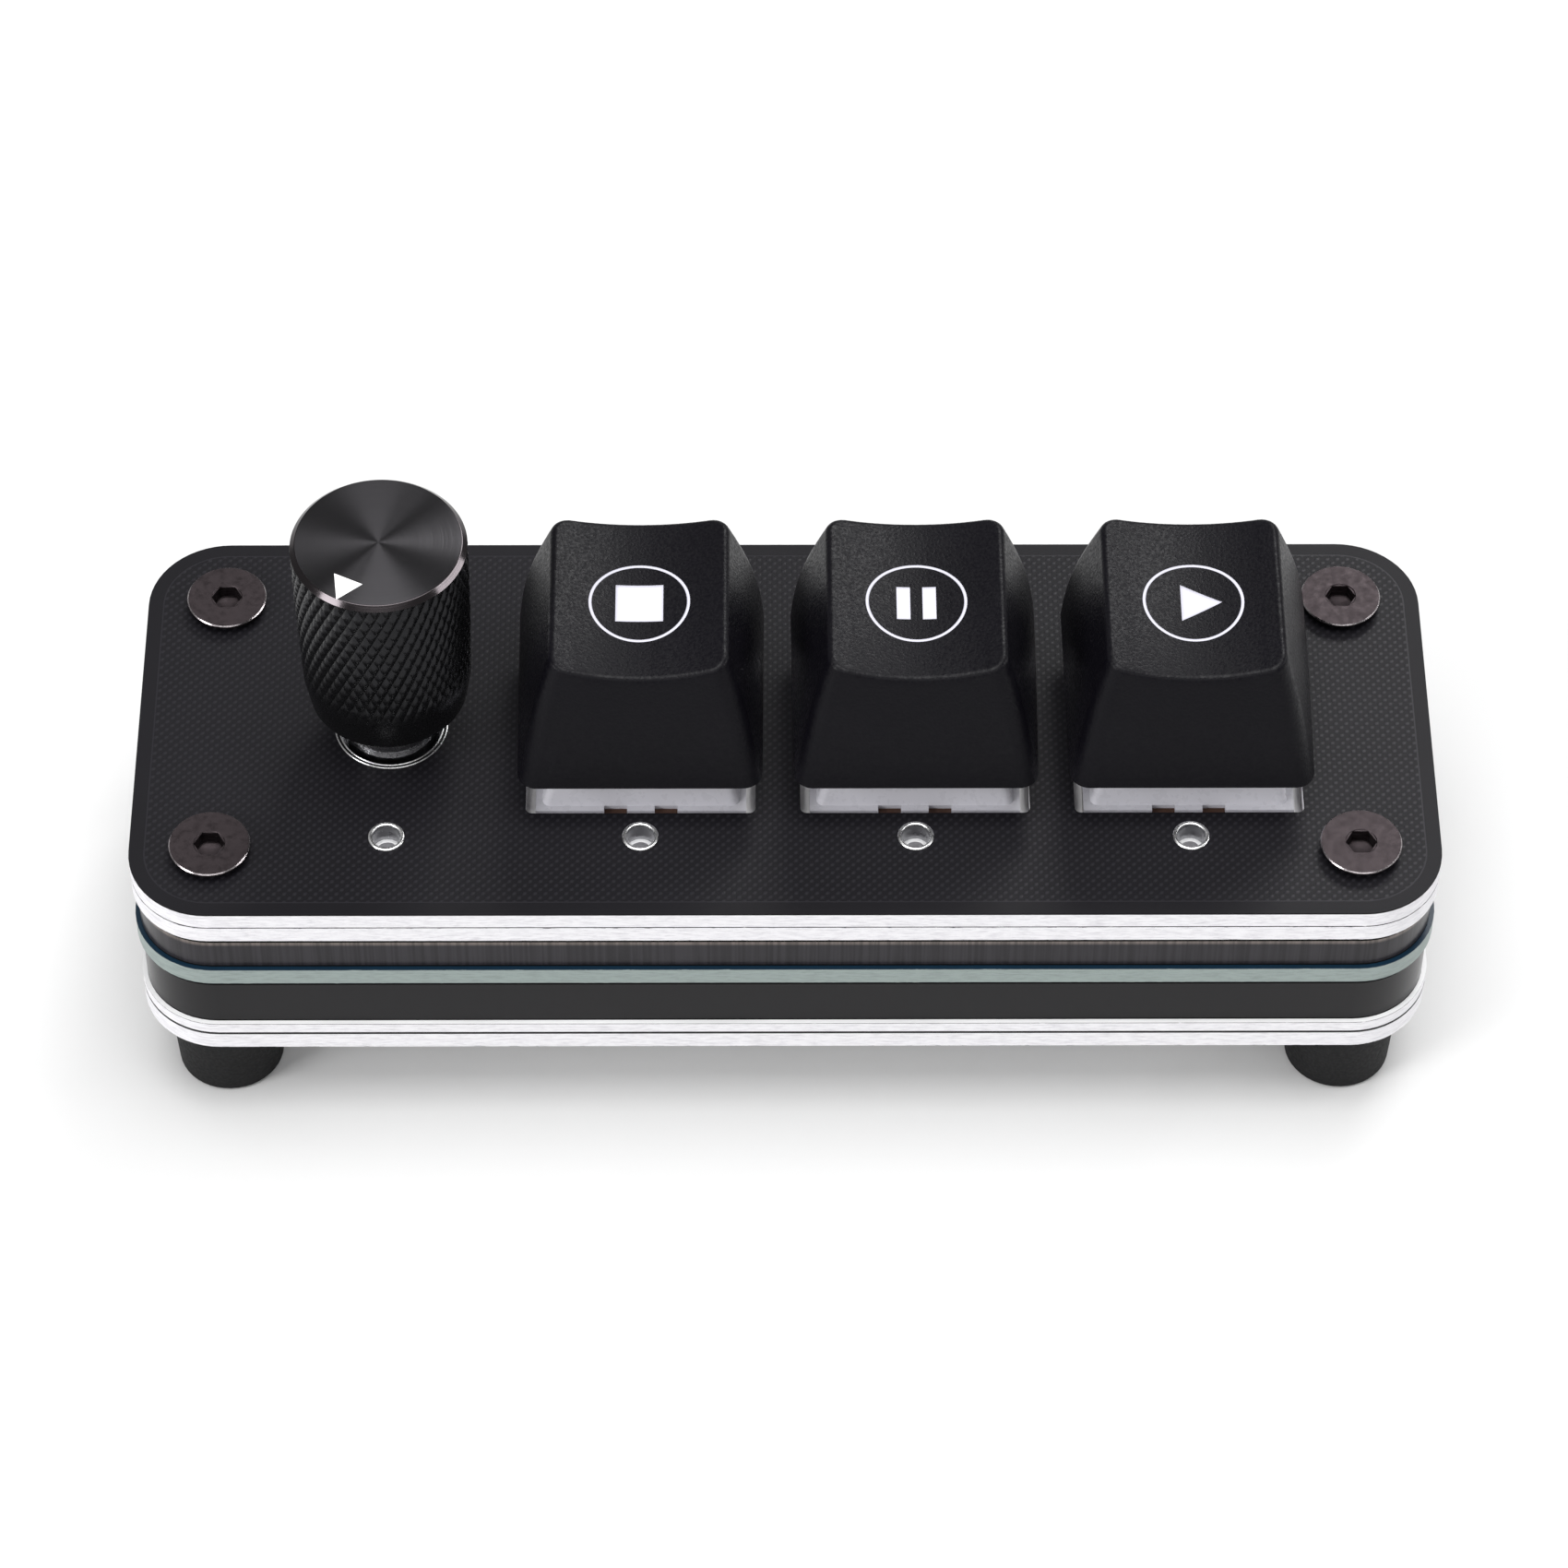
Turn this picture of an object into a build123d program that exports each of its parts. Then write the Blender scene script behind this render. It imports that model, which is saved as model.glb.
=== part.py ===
"""Macro keypad: three key switches and one push encoder in a sandwich of flat sheets.

Millimetres. +Z is up, +X runs along the row of keys, the user sits at -Y. The origin is
the middle of the footprint, on the surface that the rubber feet stand on.
"""
from build123d import *
import math
import os

# ---------------------------------------------------------------------------
# Driving dimensions
# ---------------------------------------------------------------------------

# Outline shared by every sheet
plate_length = 96.6
plate_width = 36.0
plate_corner_r = 6.0
screw_inset = 6.0              # screw axis to the long and to the short edge

# Sheets, from the bottom up
foot_height = 8.3
base_lower_t = 1.6
base_upper_t = 1.2
lower_spacer_t = 5.0
main_board_t = 1.6
upper_spacer_t = 3.5           # with the switch plate, 5 mm from clip face to main board
switch_plate_t = 1.5
faceplate_t = 1.6
acrylic_inset = 0.35           # the two acrylic sheets stop short of the boards' edges

# Layout of the controls
key_count = 3
key_pitch = 20.3
key_first_x = -10.7
knob_x = -29.4
light_row_y = -10.7

# Openings in the sheets
window_size = 17.0
window_corner_r = 0.5
switch_cutout = 14.0
switch_cutout_r = 0.3
light_bore_d = 2.1             # inside the tinned lining
light_ring_d = 2.7
light_pipe_d = 1.5             # smaller hole in the white board below
plating_t = 0.12
plating_proud = 0.1
knob_ring_d = 8.5
encoder_well_x = 14.0
encoder_well_y = 17.6
encoder_well_r = 1.0
spacer_clearance = 0.35        # acrylic cut-outs to what stands in them
spacer_light_d = 4.4
lower_wall = 4.05              # rim of the lower frame
boss_r = 5.0                   # material round each screw in the lower frame
lower_cavity_r = 2.0

# Case fasteners: M3 countersunk socket screws and hexagon nuts
screw_d = 3.0
screw_clearance = 0.1
screw_length = 20.0
screw_head_d = 6.0
screw_head_rim = 0.2
screw_head_hole_d = 4.6        # the head's cone seats on this edge
socket_af = 2.0
socket_depth = 1.2
nut_af = 5.5
nut_height = 2.4
thread_gap = 0.03

# Rubber feet
foot_top_d = 8.8
foot_bottom_d = 7.9
foot_edge_chamfer = 0.3
foot_pocket_gap = 0.05
foot_pocket_spare = 0.4        # room past the screw's end

# Key switch
flange_size = 15.6
flange_t = 0.5
switch_body_gap = 0.05         # body in the plate's cut-out
switch_body_taper = 0.3
switch_floor_t = 1.2
switch_cavity = 11.6
centre_post_d = 4.0
centre_post_length = 3.3
housing_height = 6.6           # flange seat to the top of the housing
housing_foot_size = 14.6
housing_top_x = 11.2
housing_top_y = 10.6
housing_wall = 0.9
housing_corner_r = 0.6
clip_notch_width = 1.7
clip_notch_depth = 0.6
clip_notch_x = 1.87
key_travel = 3.4
slider_x = 7.2
slider_y = 5.3
slider_flange_x = 8.6
slider_flange_y = 6.8
slider_stop_gap = 0.05
slider_side_gap = 0.15
slider_height = 4.3
stem_cross_height = 3.6
stem_cross_span = 4.0
stem_cross_bar_x = 1.3
stem_cross_bar_y = 1.1
stem_pole_d = 2.4
stem_pole_length = 3.2
pole_bore_gap = 0.2
spring_pocket_d = 5.0
spring_pocket_depth = 3.2
spring_d = 4.3
spring_wire_d = 0.3
spring_turns = 5
spring_seat_gap = 0.02

# Contact leaves, on the switch's own 1.27 mm grid
grid = 1.27
leaf_t = 0.2
pin_width = 0.9
pin_slot_gap = 0.06
fixed_leaf_width = 2.7
fixed_pin = (2 * grid, 4 * grid)
moving_pin = (-3 * grid, 2 * grid)
leaf_height = 3.6
leaf_spread = 0.6              # gap between the two leaves
board_pin_hole_d = 1.5
board_fit = 0.1

# Keycap
cap_base = 18.3
cap_top_x = 13.0
cap_top_y = 14.8
cap_corner_r = 1.5
cap_top_shift = 1.5            # the crown sits back from the skirt
cap_height = 9.95              # skirt edge to the high sides of the dish
cap_dish_sag = 0.95
cap_rim_r = 0.45
cap_wall = 1.35
cap_crown_t = 1.5
cap_post_d = 5.5
cap_socket_spare = 0.7         # socket depth past the cross
cap_blank_level = 1.06         # height share of the blank that the dish is cut from
cap_fit = 0.05
cap_pressed_gap = 0.25         # skirt to faceplate with the key fully down

# Encoder
encoder_x = 12.4
encoder_y = 12.8
encoder_base_h = 2.4
encoder_base_inset = 0.5
encoder_under_plate = 0.2
encoder_cavity_d = 9.4
encoder_floor_t = 1.4
frame_roof_t = 0.9
frame_lug_width = 2.0
frame_lug_t = 0.4
lug_reach = 0.9                # lugs and pins below the board
bushing_d = 7.0
bushing_height = 5.0
bushing_chamfer = 0.4
shaft_d = 6.0
shaft_running_gap = 0.03
shaft_collar_d = 7.4
shaft_collar_h = 0.55
shaft_drive_d = 3.6
shaft_drive_flat = 1.3
rotor_d = 9.0
rotor_t = 0.7
rotor_gap = 0.12
push_travel = 0.5
plunger_d = 2.6
plunger_h = 0.6
dome_d = 3.6
dome_h = 0.8
dome_t = 0.12
dome_top_d = 1.6
encoder_pin_width = 0.8
encoder_pin_t = 0.3
turn_pin_pitch = 2.5
push_pin_pitch = 5.0
encoder_pin_reach = 1.1        # pin row beyond the base's side

# Knob
knob_d = 12.9
knob_height = 16.3
knob_foot_d = 11.7
knob_collar_h = 2.5
knob_collar_top_d = 12.4
knob_waist_h = 7.0             # the barrel's taper eases here
knob_waist_d = 12.75
knob_rim_chamfer = 0.45
knob_foot_chamfer = 0.2
knob_crown_t = 2.4
knob_bore_gap = 0.03
knob_lift = 0.6                # knob to bushing with the knob pushed in
shaft_tip_gap = 0.3
shaft_flat = 1.5               # flat to axis
shaft_flat_spare = 1.0         # flat below the set screw
grub_d = 3.0
grub_length = 4.0
grub_height = 4.6
grub_socket_af = 1.5
grub_socket_depth = 1.4
grub_gap = 0.03
pointer_depth = 0.15
pointer_radius = 4.75          # knob axis to the triangle's centre
pointer_angle = 241.4
pointer_length = 1.95
pointer_base = 2.5
pointer_turn = 6.0

# Parts under the main board
usb_width = 8.94
usb_height = 3.26
usb_depth = 7.35
usb_wall = 0.3
usb_tongue_width = 6.7
usb_tongue_t = 0.7
usb_tongue_length = 4.6
usb_back_t = 1.2
usb_notch_gap = 0.25
usb_set_back = 0.2
controller_size = 7.0
controller_t = 0.9
controller_y = -1.0
crystal_size = (3.2, 2.5, 0.7)
crystal_y = 6.0
regulator_size = (2.9, 1.6, 1.1)
regulator_y = 5.0
diode_size = (2.7, 1.6, 1.1)
diode_row_y = -6.8
capacitor_size = (1.6, 0.8, 0.8)
capacitor_gap_x = 2.2          # past each side of the controller
capacitor_offset_y = 2.1
light_size = (3.2, 1.6, 0.6)
light_lens = (2.2, 1.5, 0.5)

# ---------------------------------------------------------------------------
# Levels and places worked out from the dimensions above
# ---------------------------------------------------------------------------

base_lower_z = foot_height
base_upper_z = base_lower_z + base_lower_t
lower_spacer_z = base_upper_z + base_upper_t
board_z = lower_spacer_z + lower_spacer_t
board_top = board_z + main_board_t
switch_plate_z = board_top + upper_spacer_t
seat_z = switch_plate_z + switch_plate_t
face_z = seat_z + faceplate_t

key_xs = [key_first_x + i * key_pitch for i in range(key_count)]
light_xs = [knob_x] + key_xs
usb_x = (key_xs[0] + key_xs[1]) / 2
controller_x = (key_xs[-2] + key_xs[-1]) / 2
screw_x = plate_length / 2 - screw_inset
screw_y = plate_width / 2 - screw_inset
screw_points = [(sx * screw_x, sy * screw_y) for sx in (-1, 1) for sy in (-1, 1)]

screw_hole_d = screw_d + 2 * screw_clearance
head_proud = screw_head_rim + (screw_head_d - screw_head_hole_d) / 2
screw_top = face_z + head_proud
screw_tip = screw_top - screw_length
nut_z = base_lower_z - nut_height

housing_top = seat_z + housing_height
slider_flange_top = housing_top - housing_wall - slider_stop_gap
slider_bottom = slider_flange_top - slider_height
switch_floor_z = board_top + switch_floor_t
skirt_z = face_z + key_travel + cap_pressed_gap
pole_bore_d = stem_pole_d + 2 * pole_bore_gap
pole_tip = slider_bottom - stem_pole_length

frame_top = seat_z - encoder_under_plate
frame_z = board_top + encoder_base_h
bushing_top = frame_top + bushing_height
knob_z = bushing_top + push_travel + knob_lift
knob_top = knob_z + knob_height
bore_top = knob_top - knob_crown_t
shaft_top = bore_top - shaft_tip_gap
knob_bore_r = shaft_d / 2 + knob_bore_gap
plunger_z = board_top + dome_h
drive_tip = plunger_z + plunger_h
collar_top = frame_top - frame_roof_t
collar_z = collar_top - shaft_collar_h
rotor_z = board_top + encoder_floor_t + rotor_gap
usb_mouth_y = plate_width / 2 - usb_set_back
usb_bottom = board_z - usb_height


# ---------------------------------------------------------------------------
# Helpers
# ---------------------------------------------------------------------------

def block(size_x, size_y, size_z, x=0.0, y=0.0, z=0.0):
    """Box centred on x, y that stands on z."""
    return Pos(x, y, z + size_z / 2) * Box(size_x, size_y, size_z)


def rod(diameter, height, x=0.0, y=0.0, z=0.0):
    """Round bar on a vertical axis that stands on z."""
    return Pos(x, y, z + height / 2) * Cylinder(diameter / 2, height)


def at(points, sketch):
    """Copies of a sketch at each of the points."""
    return [Pos(x, y) * sketch for x, y in points]


def key_points():
    """Axes of the key switches."""
    return [(x, 0) for x in key_xs]


def light_points():
    """Centres of the status lights and of the round holes above them."""
    return [(x, light_row_y) for x in light_xs]


def hexagon(across_flats):
    """Hexagon with two corners on the X axis."""
    return RegularPolygon(across_flats / 2, 6, major_radius=False)


def outline(inset):
    """Outline that every sheet shares, drawn in by an inset."""
    return RectangleRounded(plate_length - 2 * inset, plate_width - 2 * inset,
                            plate_corner_r - inset)


def sheet(z, thickness, screw_opening, cutouts, inset=0):
    """One sheet of the sandwich with its screw holes and cut-outs."""
    profile = outline(inset)
    for hole in at(screw_points, Circle(screw_opening / 2)) + cutouts:
        profile -= hole
    return Pos(0, 0, z) * extrude(profile, thickness)


def level_section(size_x, size_y, z):
    """Rectangle centred on the axis at a height."""
    return Pos(0, 0, z) * Rectangle(size_x, size_y)


def rounded_taper(low, high, corner_r):
    """Flat-sided block between two rectangles, with its rising edges rounded."""
    body = loft([low, high], ruled=True)
    rising = [edge for edge in body.edges() if edge.bounding_box().size.Z > corner_r / 2]
    return fillet(rising, corner_r)


# ---------------------------------------------------------------------------
# Sheets
# ---------------------------------------------------------------------------

def make_faceplate():
    """Black front board: three windows, four light holes and the knob hole."""
    cutouts = at(key_points(), RectangleRounded(window_size, window_size, window_corner_r))
    cutouts += at(light_points(), Circle(light_bore_d / 2 + plating_t))
    cutouts.append(Pos(knob_x, 0) * Circle(knob_bore_in_plate() + plating_t))
    return sheet(seat_z, faceplate_t, screw_head_hole_d, cutouts)


def knob_bore_in_plate():
    """Inner radius of the lining in the knob hole."""
    return bushing_d / 2 + spacer_clearance


def plated_hole(x, y, bore_r, ring_r):
    """Tinned lining of a hole, with its ring on the upper face."""
    lining = Circle(bore_r + plating_t) - Circle(bore_r)
    ring = Circle(ring_r) - Circle(bore_r)
    tube = Pos(x, y, seat_z) * extrude(lining, faceplate_t)
    collar = Pos(x, y, face_z) * extrude(ring, plating_proud)
    return tube + collar


def make_faceplate_plating():
    """Linings of the four light holes and of the knob hole."""
    rings = [plated_hole(x, y, light_bore_d / 2, light_ring_d / 2) for x, y in light_points()]
    rings.append(plated_hole(knob_x, 0, knob_bore_in_plate(), knob_ring_d / 2))
    return Compound(rings)


def encoder_well():
    """Opening in the inner sheets that the encoder stands in."""
    return Pos(knob_x, 0) * RectangleRounded(encoder_well_x, encoder_well_y, encoder_well_r)


def make_switch_plate():
    """White board that the switches clip into."""
    cutouts = at(key_points(), RectangleRounded(switch_cutout, switch_cutout, switch_cutout_r))
    cutouts += at(light_points(), Circle(light_pipe_d / 2))
    cutouts.append(encoder_well())
    return sheet(switch_plate_z, switch_plate_t, screw_hole_d, cutouts)


def make_upper_spacer():
    """Smoked acrylic between the switch plate and the main board."""
    opening = switch_cutout + 2 * spacer_clearance
    cutouts = at(key_points(), RectangleRounded(opening, opening, switch_cutout_r))
    cutouts += at(light_points(), Circle(spacer_light_d / 2))
    cutouts.append(encoder_well())
    return sheet(board_top, upper_spacer_t, screw_hole_d, cutouts, acrylic_inset)


def encoder_pin_points():
    """Three turn pins at the front, two push pins at the back."""
    row_y = encoder_y / 2 - encoder_base_inset + encoder_pin_reach
    turn = [(knob_x + i * turn_pin_pitch, -row_y) for i in (-1, 0, 1)]
    push = [(knob_x + i * push_pin_pitch / 2, row_y) for i in (-1, 1)]
    return turn + push


def lug_points():
    """Places of the cover's two lugs in the main board."""
    return [(knob_x + s * (encoder_x - frame_lug_t) / 2, 0) for s in (-1, 1)]


def make_main_board():
    """Blue circuit board with the holes for posts, pins and lugs."""
    posts = at(key_points(), Circle(centre_post_d / 2 + board_fit))
    pins = [(x + px, py) for x in key_xs for px, py in (fixed_pin, moving_pin)]
    pin_holes = at(pins, Circle(board_pin_hole_d / 2))
    pin_holes += at(encoder_pin_points(), Circle(encoder_pin_width / 2 + board_fit))
    slot = Rectangle(frame_lug_t + 2 * board_fit, frame_lug_width + 2 * board_fit)
    return sheet(board_z, main_board_t, screw_hole_d, posts + pin_holes + at(lug_points(), slot))


def make_lower_spacer():
    """Black acrylic frame, open at the back for the socket."""
    rim = acrylic_inset + lower_wall
    cavity = RectangleRounded(plate_length - 2 * rim, plate_width - 2 * rim, lower_cavity_r)
    for boss in at(screw_points, Circle(boss_r)):
        cavity -= boss
    notch_width = usb_width + 2 * usb_notch_gap
    notch = Pos(usb_x, (plate_width - rim) / 2) * Rectangle(notch_width, rim)
    return sheet(lower_spacer_z, lower_spacer_t, screw_hole_d, [cavity, notch], acrylic_inset)


def make_base_plate(z, thickness):
    """Plain white board with four screw holes."""
    return sheet(z, thickness, screw_hole_d, [])


# ---------------------------------------------------------------------------
# Case fasteners and feet
# ---------------------------------------------------------------------------

def make_case_screws():
    """Countersunk socket screws whose cones seat on the faceplate's hole edges."""
    cone_h = (screw_head_d - screw_d) / 2
    profile = Polyline(
        (0, screw_tip),
        (screw_d / 2, screw_tip),
        (screw_d / 2, screw_top - screw_head_rim - cone_h),
        (screw_head_d / 2, screw_top - screw_head_rim),
        (screw_head_d / 2, screw_top),
        (0, screw_top),
        close=True,
    )
    body = revolve(Plane.XZ * make_face(profile), Axis.Z)
    body -= Pos(0, 0, screw_top - socket_depth) * extrude(hexagon(socket_af), socket_depth)
    return Compound([Pos(x, y) * body for x, y in screw_points])


def make_case_nuts():
    """Hexagon nuts drawn up against the lower base plate."""
    profile = hexagon(nut_af) - Circle(screw_d / 2 + thread_gap)
    nut = Pos(0, 0, nut_z) * extrude(profile, nut_height)
    return Compound([Pos(x, y) * nut for x, y in screw_points])


def make_feet():
    """Tapered rubber feet pushed over the nuts."""
    body = Pos(0, 0, foot_height / 2) * Cone(foot_bottom_d / 2, foot_top_d / 2, foot_height)
    body = chamfer(body.edges().sort_by(Axis.Z)[0], foot_edge_chamfer)
    pocket_depth = foot_height - screw_tip + foot_pocket_spare
    pocket = extrude(hexagon(nut_af + 2 * foot_pocket_gap), pocket_depth)
    body -= Pos(0, 0, foot_height - pocket_depth) * pocket
    return Compound([Pos(x, y) * body for x, y in screw_points])


# ---------------------------------------------------------------------------
# Key switch and keycap, each built on the switch's own axis
# ---------------------------------------------------------------------------

def make_lower_housing():
    """Brown switch bottom: flange on the plate, tapered body, post into the board."""
    body_size = switch_cutout - 2 * switch_body_gap
    foot_size = body_size - 2 * switch_body_taper
    body = rounded_taper(level_section(foot_size, foot_size, board_top),
                         level_section(body_size, body_size, seat_z), switch_cutout_r)
    body += block(flange_size, flange_size, flange_t, z=seat_z)
    body += rod(centre_post_d, centre_post_length, z=board_top - centre_post_length)
    cavity_h = seat_z + flange_t - switch_floor_z
    body -= block(switch_cavity, switch_cavity, cavity_h, z=switch_floor_z)
    bore_z = pole_tip - key_travel - pole_bore_gap
    body -= rod(pole_bore_d, switch_floor_z - bore_z, z=bore_z)
    for x, y in (fixed_pin, moving_pin):
        slot = block(pin_width + 2 * pin_slot_gap, leaf_t + 2 * pin_slot_gap, switch_floor_t,
                     x, y, board_top)
        body -= slot
    return body


def make_upper_housing():
    """Milky switch top: lip with clip notches, tapered hood, opening for the slider."""
    lip_z = seat_z + flange_t
    hood_z = lip_z + flange_t
    roof_z = housing_top - housing_wall
    body = block(flange_size, flange_size, flange_t, z=lip_z)
    body += rounded_taper(level_section(housing_foot_size, housing_foot_size, hood_z),
                          level_section(housing_top_x, housing_top_y, housing_top),
                          housing_corner_r)
    inner_foot = housing_foot_size - 2 * housing_wall
    body -= block(inner_foot, inner_foot, flange_t, z=lip_z)
    body -= loft([level_section(inner_foot, inner_foot, hood_z),
                  level_section(housing_top_x - 2 * housing_wall,
                                housing_top_y - 2 * housing_wall, roof_z)], ruled=True)
    opening_x = slider_x + 2 * slider_side_gap
    opening_y = max(slider_y, cap_post_d) + 2 * slider_side_gap
    body -= block(opening_x, opening_y, housing_wall, z=roof_z)
    for side in (-1, 1):
        for x in (-clip_notch_x, clip_notch_x):
            notch_y = side * (flange_size - clip_notch_depth) / 2
            body -= block(clip_notch_width, clip_notch_depth, flange_t, x, notch_y, lip_z)
    return body


def make_stem():
    """Slider with its stop flange, guide pole and the cross that carries the keycap."""
    stem = block(slider_flange_x, slider_flange_y, slider_height, z=slider_bottom)
    stem += block(slider_x, slider_y, housing_top - slider_flange_top, z=slider_flange_top)
    stem += block(stem_cross_span, stem_cross_bar_y, stem_cross_height, z=housing_top)
    stem += block(stem_cross_bar_x, stem_cross_span, stem_cross_height, z=housing_top)
    stem -= rod(spring_pocket_d, spring_pocket_depth, z=slider_bottom)
    stem += rod(stem_pole_d, stem_pole_length + spring_pocket_depth, z=pole_tip)
    return stem


def make_spring():
    """Square-wire spring from the housing floor to the top of the slider's pocket."""
    low = switch_floor_z + spring_wire_d / 2 + spring_seat_gap
    high = slider_bottom + spring_pocket_depth - spring_wire_d / 2 - spring_seat_gap
    height = high - low
    coil = Helix(height / spring_turns, height, (spring_d - spring_wire_d) / 2)
    wire = Plane(origin=coil @ 0, z_dir=coil % 0) * Rectangle(spring_wire_d, spring_wire_d)
    return Pos(0, 0, low) * sweep(wire, path=coil, is_frenet=True)


def make_contacts():
    """Fixed and moving leaf, each with the pin that is soldered into the board."""
    pin_bottom = board_top - centre_post_length
    pin_h = switch_floor_z - pin_bottom
    fixed_x, fixed_y = fixed_pin
    moving_x, moving_y = moving_pin
    blade_y = fixed_y - leaf_spread - leaf_t

    fixed = block(pin_width, leaf_t, pin_h, fixed_x, fixed_y, pin_bottom)
    fixed += block(fixed_leaf_width, leaf_t, leaf_height, fixed_x, fixed_y, switch_floor_z)

    strap_y = (moving_y + blade_y) / 2
    strap_length = blade_y - moving_y + leaf_t
    blade_x = (moving_x + fixed_x) / 2
    blade_length = fixed_x - moving_x + pin_width
    moving = block(pin_width, leaf_t, pin_h, moving_x, moving_y, pin_bottom)
    moving += block(pin_width, strap_length, leaf_t, moving_x, strap_y, switch_floor_z)
    moving += block(blade_length, leaf_t, leaf_height, blade_x, blade_y, switch_floor_z)
    return Compound([fixed, moving])


def cap_section(level, inset):
    """Keycap section at a share of its height, drawn in by an inset on every side."""
    size_x = cap_base + (cap_top_x - cap_base) * level - 2 * inset
    size_y = cap_base + (cap_top_y - cap_base) * level - 2 * inset
    return Pos(0, cap_top_shift * level, skirt_z + cap_height * level) * Rectangle(size_x, size_y)


def make_keycap():
    """Keycap with a cylindrical dish, hollow underneath, and a cross socket on a post."""
    cap = rounded_taper(cap_section(0, 0), cap_section(cap_blank_level, 0), cap_corner_r)
    dish_r = (cap_top_x ** 2 / 4 + cap_dish_sag ** 2) / (2 * cap_dish_sag)
    dish_z = skirt_z + cap_height - cap_dish_sag + dish_r
    cap -= Pos(0, 0, dish_z) * Rot(90, 0, 0) * Cylinder(dish_r, 2 * cap_base)
    rim_z = skirt_z + cap_height - cap_dish_sag - cap_rim_r
    rim = cap.edges().filter_by(lambda edge: edge.center().Z > rim_z)
    cap = fillet(rim, cap_rim_r)
    ceiling = (cap_height - cap_dish_sag - cap_crown_t) / cap_height
    cap -= loft([cap_section(0, cap_wall), cap_section(ceiling, cap_wall)], ruled=True)
    post_h = skirt_z + cap_height * ceiling - housing_top
    post = rod(cap_post_d, post_h, z=housing_top)
    socket_h = stem_cross_height + cap_socket_spare
    span = stem_cross_span + 2 * cap_fit
    post -= block(span, stem_cross_bar_y + 2 * cap_fit, socket_h, z=housing_top)
    post -= block(stem_cross_bar_x + 2 * cap_fit, span, socket_h, z=housing_top)
    return cap + post


# ---------------------------------------------------------------------------
# Encoder, built on the knob's axis
# ---------------------------------------------------------------------------

def make_encoder_base():
    """Moulded base with the rotor's cavity and the well of the push switch."""
    base_x = encoder_x - 2 * encoder_base_inset
    base_y = encoder_y - 2 * encoder_base_inset
    base = block(base_x, base_y, encoder_base_h, z=board_top)
    cavity_z = board_top + encoder_floor_t
    base -= rod(encoder_cavity_d, encoder_base_h - encoder_floor_t, z=cavity_z)
    base -= rod(dome_d + 2 * rotor_gap, encoder_floor_t, z=board_top)
    return Pos(knob_x) * base


def make_encoder_frame():
    """Die-cast cover with the mounting bushing and two lugs through the board."""
    frame_h = frame_top - frame_z
    frame = block(encoder_x, encoder_y, frame_h, z=frame_z)
    frame -= rod(encoder_cavity_d, frame_h - frame_roof_t, z=frame_z)
    bushing = rod(bushing_d, bushing_height, z=frame_top)
    frame += chamfer(bushing.edges().sort_by(Axis.Z)[-1], bushing_chamfer)
    frame -= rod(shaft_d + 2 * shaft_running_gap, frame_roof_t + bushing_height,
                 z=frame_top - frame_roof_t)
    lug_h = frame_z - board_z + lug_reach
    for side in (-1, 1):
        lug_x = side * (encoder_x - frame_lug_t) / 2
        frame += block(frame_lug_t, frame_lug_width, lug_h, lug_x, 0, board_z - lug_reach)
    return Pos(knob_x) * frame


def drive_section(diameter, flat):
    """Round bar section with one flat, on its +Y side."""
    cut = Pos(0, flat + diameter / 2) * Rectangle(diameter, diameter)
    return Circle(diameter / 2) - cut


def make_encoder_rotor():
    """Contact disc that the shaft turns and slides through."""
    hole = drive_section(shaft_drive_d + 2 * rotor_gap, shaft_drive_flat + rotor_gap)
    return Pos(knob_x, 0, rotor_z) * extrude(Circle(rotor_d / 2) - hole, rotor_t)


def make_encoder_shaft():
    """Shaft: drive end, stop collar, round bearing length and a flat for the knob."""
    shaft = Pos(0, 0, drive_tip) * extrude(drive_section(shaft_drive_d, shaft_drive_flat),
                                           collar_z - drive_tip)
    shaft += rod(shaft_collar_d, shaft_collar_h, z=collar_z)
    shaft += rod(shaft_d, shaft_top - collar_top, z=collar_top)
    flat_z = knob_z + grub_height - grub_d / 2 - shaft_flat_spare
    flat = block(shaft_d, shaft_d, shaft_top - flat_z, 0, shaft_flat + shaft_d / 2, flat_z)
    return Pos(knob_x) * (shaft - flat)


def make_encoder_plunger():
    """Small button between the shaft's end and the snap dome."""
    return rod(plunger_d, plunger_h, knob_x, 0, plunger_z)


def make_encoder_dome():
    """Snap dome of the push switch: a flat-topped shell that stands on the board."""
    outer = Polyline((dome_d / 2 - dome_t, 0), (dome_d / 2, 0), (dome_top_d / 2, dome_h),
                     (0, dome_h), (0, dome_h - dome_t), (dome_top_d / 2 - dome_t, dome_h - dome_t),
                     close=True)
    return Pos(knob_x, 0, board_top) * revolve(Plane.XZ * make_face(outer), Axis.Z)


def make_encoder_pins():
    """Five bent pins from the base's sides down through the board."""
    side_y = encoder_y / 2 - encoder_base_inset
    pins = []
    for x, y in encoder_pin_points():
        side = math.copysign(1, y)
        reach = abs(y) - side_y + encoder_pin_t / 2
        level = board_top + encoder_pin_t
        arm = block(encoder_pin_width, reach, encoder_pin_t, x, side * (side_y + reach / 2), level)
        leg_h = level - board_z + lug_reach + encoder_pin_t
        leg = block(encoder_pin_width, encoder_pin_t, leg_h, x, y, board_z - lug_reach)
        pins.append(arm + leg)
    return Compound(pins)


# ---------------------------------------------------------------------------
# Knob
# ---------------------------------------------------------------------------

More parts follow.
